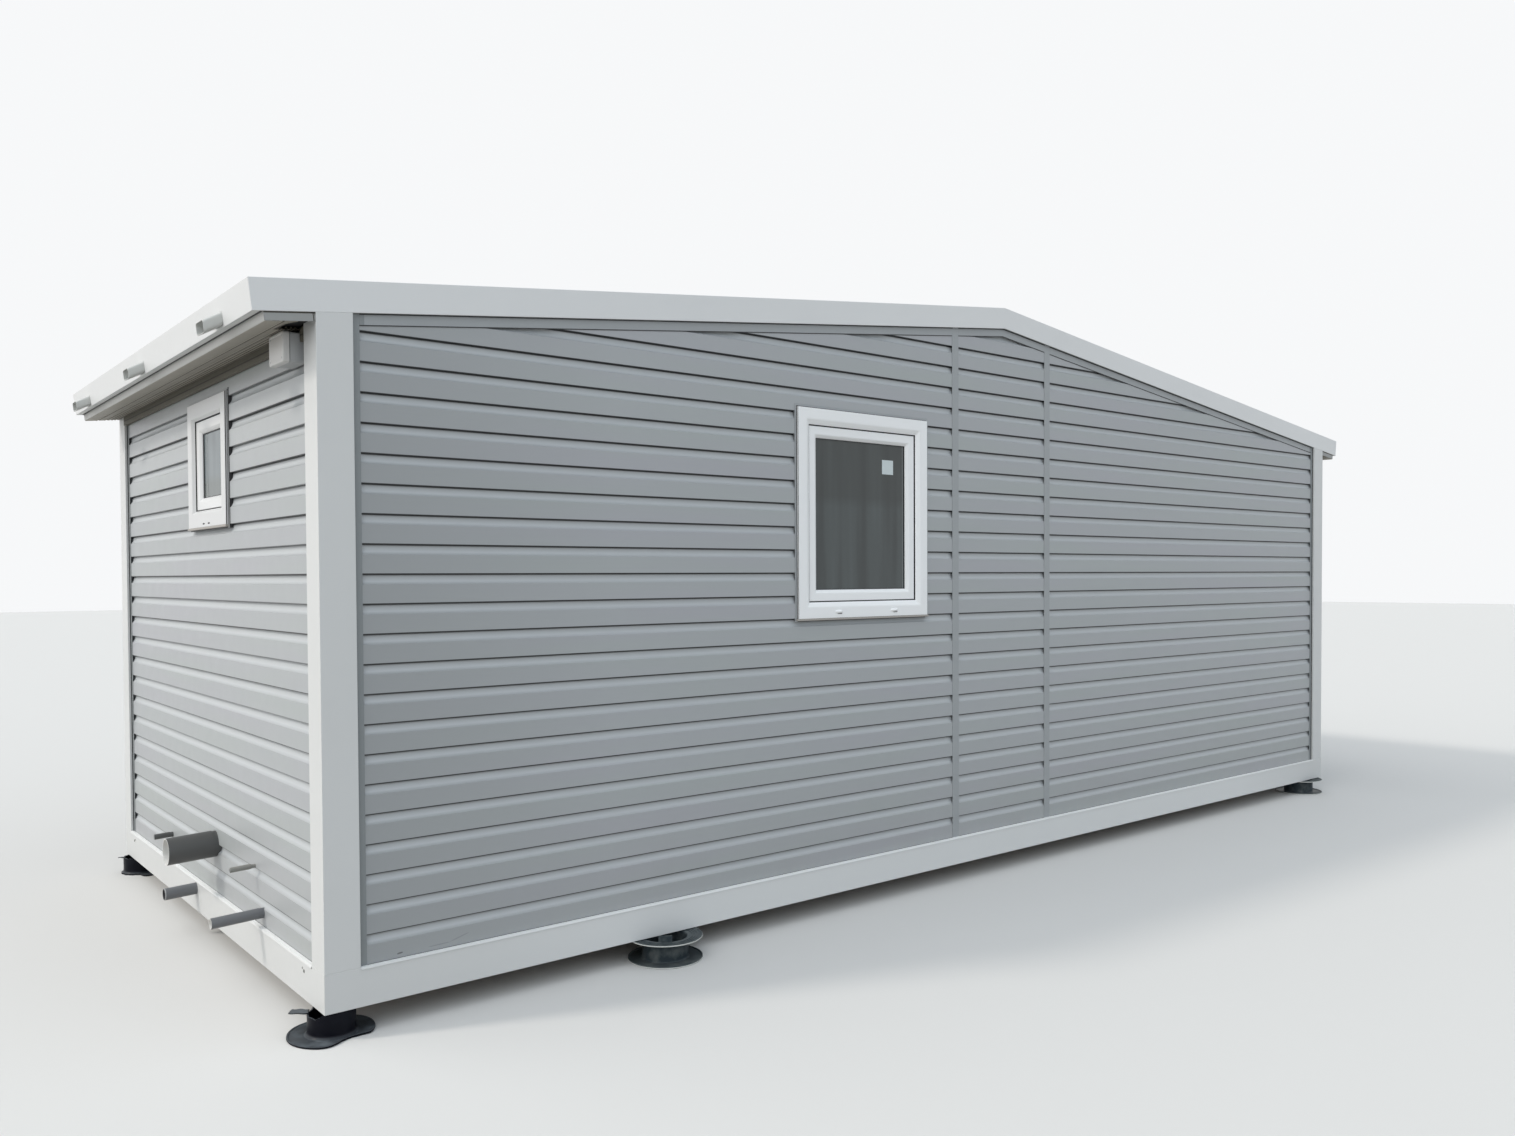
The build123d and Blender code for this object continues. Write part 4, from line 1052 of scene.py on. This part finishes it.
stripMiddle = halfLength - house["stripOffset"]
rakeSpans = [(house["post"] + rake["edge"], stripMiddle - rake["strip"]), (stripMiddle + rake["strip"], halfLength)]
rakeSpans += [(house["length"] - uTo, house["length"] - uFrom) for uFrom, uTo in rakeSpans[::-1]]
add("rakeTrimShades", [onWall(rakeShadeLine(*span, *line), side) for span in rakeSpans for side in ("front", "back")
                      for line in rakeLines], "gasket", "foot_black")

seams = {"width": 0.0028, "depth": 0.0105, "trimDepth": 0.0144}
# distance from the left, height, width, height and swell of the bolt heads on the left sill
bolts = ((0.2011, -0.036, 0.016, 0.015, 0.003), (2.7989, -0.036, 0.016, 0.015, 0.003),
         (0.2180, -0.029, 0.011, 0.010, 0.0018), (2.7820, -0.029, 0.011, 0.010, 0.0018))


def seamBeads(run, high):
    # thin dark joints where the trims' flanges meet the two corner posts
    wide, near, far = seams["width"], seams["depth"], seams["trimDepth"]
    starts = (house["post"], run - house["post"] - wide)
    return [slabShape((u, near, 0.001), (u + wide, far, high), 0.0004) for u in starts]


sideHigh = house["eave"] - house["fascia"] / slopeCos - 0.004
longHigh = sideHigh + (house["overhang"] + house["post"]) * slopeTan
add("trimJoints", [onWall(bead, side) for side, run, high in (
    ("front", house["length"], longHigh), ("back", house["length"], longHigh), ("left", house["width"], sideHigh),
    ("right", house["width"], sideHigh)) for bead in seamBeads(run, high)], "gasket", "foot_black")
add("sillBoltHeads", [padShape((u, z), (wide, tall), 0.0002, proud, 2.0, 6, 24) for u, z, wide, tall, proud in bolts],
    "steelDark", "white_steel", angle=junctionBox["screwShade"], side="left")
print("joints and bolt heads built")

roofSheet = {"low": 0.0265, "top": 0.019, "halfRib": 0.007, "halfTop": 0.0042, "ribs": 7, "pitch": 0.42, "start": 0.093,
             "gutter": 0.1155}


def roofRib(y, end):
    # low folded seam from the ridge flashing to the gutter: trapezium section in (y, down)
    low, top, half, crest, start = (roofSheet[key] for key in ("low", "top", "halfRib", "halfTop", "start"))
    section = softOutline([(-half, low), (-crest, top), (crest, top), (half, low)], [0.0, 0.001, 0.001, 0.0], 3)
    last = slopeLength - roofSheet["gutter"]
    middle = np.tile(section.mean(0), (len(section), 1))
    return loopStack([onSlope(along, part[:, 1], y + part[:, 0], end) for along, part in (
        (start, middle), (start, section), (last, section), (last, middle))])


add("roofSeams", [roofRib((k - (roofSheet["ribs"] - 1) / 2) * roofSheet["pitch"], end)
                  for end in (-1, 1) for k in range(roofSheet["ribs"])], "roof", "roof_sheet")
print("roof seams built")

backDoor = {
    "leafFront": 0.020, "panelInset": 0.1903, "panelDepth": 0.006, "panels": ((0.08, 0.44), (0.52, 0.92)),
    "mould": 0.022, "mouldProud": 0.004, "fieldIn": 0.050, "handleHeight": 1.02, "handleIn": 0.108, "rose": 0.026,
    "lever": 0.118, "leverOut": 0.045, "leverThick": (0.0065, 0.0095), "lockDrop": 0.095, "hingeIn": 0.074,
    "hingeDepth": 0.0125, "hinges": (0.26, 1.02, 1.78), "metalShade": 35.0,
}


def doorPanels():
    # a moulding round the edge of each sunk panel and a raised field inside it
    left, low, wide, high = openings["door"]
    front, inner, mould, inset = (backDoor[key] for key in ("leafFront", "panelInset", "mould", "fieldIn"))
    floor, proud = front + backDoor["panelDepth"], front - backDoor["mouldProud"]
    outline = softOutline([(-0.006, front + 0.0002), (-0.004, proud), (0.004, proud), (mould, floor - 0.001),
                           (mould, floor + 0.0006), (-0.006, floor + 0.0006)], [0.0, 0.002, 0.003, 0.002, 0.0, 0.0], 4)
    shapes = []
    for start, stop in backDoor["panels"]:
        u, z, across, tall = left + inner, low + high * start, wide - 2 * inner, high * (stop - start)
        shapes += [ringShape((u, z, across, tall), outline), slabShape((u + inset, front + 0.001, z + inset), (
            u + across - inset, floor + 0.0006, z + tall - inset), 0.003, 3)]
    return shapes


def doorFittings():
    # two round roses, a cylinder face and a lever that turns square and runs towards the hinges
    u, z, front, wide = (backDoor[key] for key in ("handleIn", "handleHeight", "leafFront", "rose"))
    u, below = u + openings["door"][0], z - backDoor["lockDrop"]
    rose = [(0.0, 0.001), (wide, 0.001), (wide, -0.005), (wide - 0.003, -0.008), (0.0, -0.008)]
    lock = [(0.0, -0.005), (0.009, -0.005), (0.009, -0.012), (0.007, -0.013), (0.0, -0.013)]
    shapes = [pipeShape(np.array(profile) + (0.0, front), (u, height), steps)
              for profile, height, steps in ((rose, z, 32), (rose, below, 32), (lock, below, 24))]
    t = np.linspace(0.0, 1.0, 14)
    path = np.stack([u + np.maximum(t - 0.4, 0.0) / 0.6 * backDoor["lever"],
                     front - 0.006 - backDoor["leverOut"] * smoothStep(t / 0.45), z + 0 * t], -1)
    tangent = np.gradient(path, axis=0)
    tangent /= np.linalg.norm(tangent, axis=1, keepdims=True)
    normal = np.stack([-tangent[:, 1], tangent[:, 0], 0 * t], -1)[:, None]
    turn = np.linspace(0, 2 * math.pi, 16, endpoint=False)[None, :, None]
    halfWide, halfHigh = backDoor["leverThick"]
    thick = np.where((t == 0) | (t == 1), 0.0, 1.0)[:, None, None]   # drawn together at both ends
    across = halfWide * np.cos(turn) * normal + halfHigh * np.sin(turn) * np.array([0.0, 0.0, 1.0])
    loops = path[:, None] + thick * across
    return [*shapes, (loops.reshape(-1, 3), gridFaces(14, 16, False, True))]


def doorHinges():
    # three upright knuckles on the seam between leaf and frame, turned about their own lines, with their leaves
    u, d = openings["door"][0] + openings["door"][2] - backDoor["hingeIn"], backDoor["hingeDepth"]
    profile = np.array([(0.0, -0.050), (0.006, -0.050), (0.0075, -0.047), (0.0075, -0.0015), (0.0068, 0.0),
                        (0.0075, 0.0015), (0.0075, 0.047), (0.006, 0.050), (0.0, 0.050)])
    return [shape for middle in backDoor["hinges"] for shape in (
        turnedShape(profile + (0.0, middle), (u, d), 24),
        slabShape((u - 0.020, d + 0.004, middle - 0.045), (u + 0.020, d + 0.0085, middle + 0.045), 0.001))]


bevelledCopy("doorLeafSheet", "door_leaf", "door", sheetRound["door"])
add("doorSurround", [ringShape(openings["door"], frameOutline(windowFrame["slope"]))], "window", "window_white",
    "door_frame", angle=windowFrame["shade"], side="back")
add("doorPanelMouldings", doorPanels(), "door", "white_steel", side="back")
add("doorHandle", doorFittings(), "steel", "white_steel", angle=backDoor["metalShade"], side="back")
add("doorHinges", doorHinges(), "window", "window_white", angle=backDoor["metalShade"], side="back")
print("door built")

view = {
    "place": (-4.8141, -5.3527, 1.5294), "yaw": 39.37, "pitch": -1.251, "roll": -0.274, "lens": 27.788, "sensor": 36.0,
    "shiftY": 0.02247, "clipEnd": 200.0,
    # colour, power, size in degrees and direction of each lamp
    "sun": ((1.0, 0.95, 0.88), 1.13, 7.0, (-0.71, 0.28, 0.64)),
    "side": ((1.0, 0.982, 0.955), 1.755, 105.0, (-0.87, 0.14, 0.50)),
    "top": ((0.84, 0.92, 1.0), 1.255, 105.0, (-0.06, -0.60, 0.80)),
    "skyColour": (0.80, 0.90, 1.0), "skyPower": 0.355, "seenSky": (0.93, 0.94, 0.95),
    "floorColour": (0.70, 0.69, 0.67), "floorBounce": (0.40, 0.385, 0.36), "floorRough": 0.85, "floorHalf": 60.0,
}


def makeCamera():
    # axes from yaw, pitch and roll: forward, then right and up turned about it
    yaw, pitch, roll = (math.radians(view[key]) for key in ("yaw", "pitch", "roll"))
    ahead = Vector((math.sin(yaw) * math.cos(pitch), math.cos(yaw) * math.cos(pitch), math.sin(pitch)))
    right = Vector((math.cos(yaw), -math.sin(yaw), 0.0))
    up = right.cross(ahead)
    columns = (right * math.cos(roll) + up * math.sin(roll), up * math.cos(roll) - right * math.sin(roll), -ahead,
               Vector(view["place"]))
    data = bpy.data.cameras.new("camera")
    data.lens, data.sensor_width, data.sensor_fit = view["lens"], view["sensor"], "HORIZONTAL"
    data.shift_y, data.clip_end = view["shiftY"], view["clipEnd"]
    camera = linked("camera", data)
    camera.matrix_world = Matrix([[column[row] for column in columns] for row in range(3)] + [[0, 0, 0, 1]])
    bpy.context.scene.camera = camera


def seenRays(tree):
    # one for rays that show the surroundings: seen by the camera, mirrored or through clear material
    path = tree.nodes.new("ShaderNodeLightPath").outputs
    seen = mathNode("MAXIMUM", path["Is Camera Ray"], path["Is Glossy Ray"])
    return mathNode("MAXIMUM", seen, path["Is Transmission Ray"])


def makeLight():
    world = bpy.data.worlds.new("studio")
    bpy.context.scene.world = world
    world.use_nodes = True
    tree = world.node_tree
    sky = tree.nodes["Background"]
    sky.inputs["Color"].default_value = (*view["skyColour"], 1.0)
    sky.inputs["Strength"].default_value = view["skyPower"]
    seen = tree.nodes.new("ShaderNodeBackground")
    seen.inputs["Color"].default_value = (*view["seenSky"], 1.0)
    seen.inputs["Strength"].default_value = 1.0
    mix = addNode("ShaderNodeMixShader", {0: seenRays(tree), 1: sky.outputs[0], 2: seen.outputs[0]})
    tree.links.new(mix.outputs[0], tree.nodes["World Output"].inputs["Surface"])
    for title in ("sun", "side", "top"):
        data = bpy.data.lights.new(title + "Light", "SUN")
        data.color, data.energy, size, source = view[title]
        data.angle = math.radians(size)
        linked(title + "Light", data).rotation_euler = Vector(source).to_track_quat("Z", "Y").to_euler()


def makeFloor():
    # camera and mirrored rays see the paler floor, the light that it throws back is dimmer
    mats["floor"], tree, shader = newMaterial("paleFloor", view["floorColour"], view["floorRough"])
    tone = blendColours(seenRays(tree), view["floorBounce"], view["floorColour"])
    tree.links.new(tone, shader.inputs["Base Color"])
    half = view["floorHalf"]
    corners = np.insert(np.array(rect(-half, -half, half, half)), 2, 0.0, axis=1)
    floor = meshFrom("studioFloor", (corners, np.array([[0, 1, 2, 3]])), "floor", meshing["wallShade"])


bpy.context.scene.view_settings.view_transform = "Standard"
makeCamera()
makeLight()
makeFloor()
print("camera, light and floor ready")
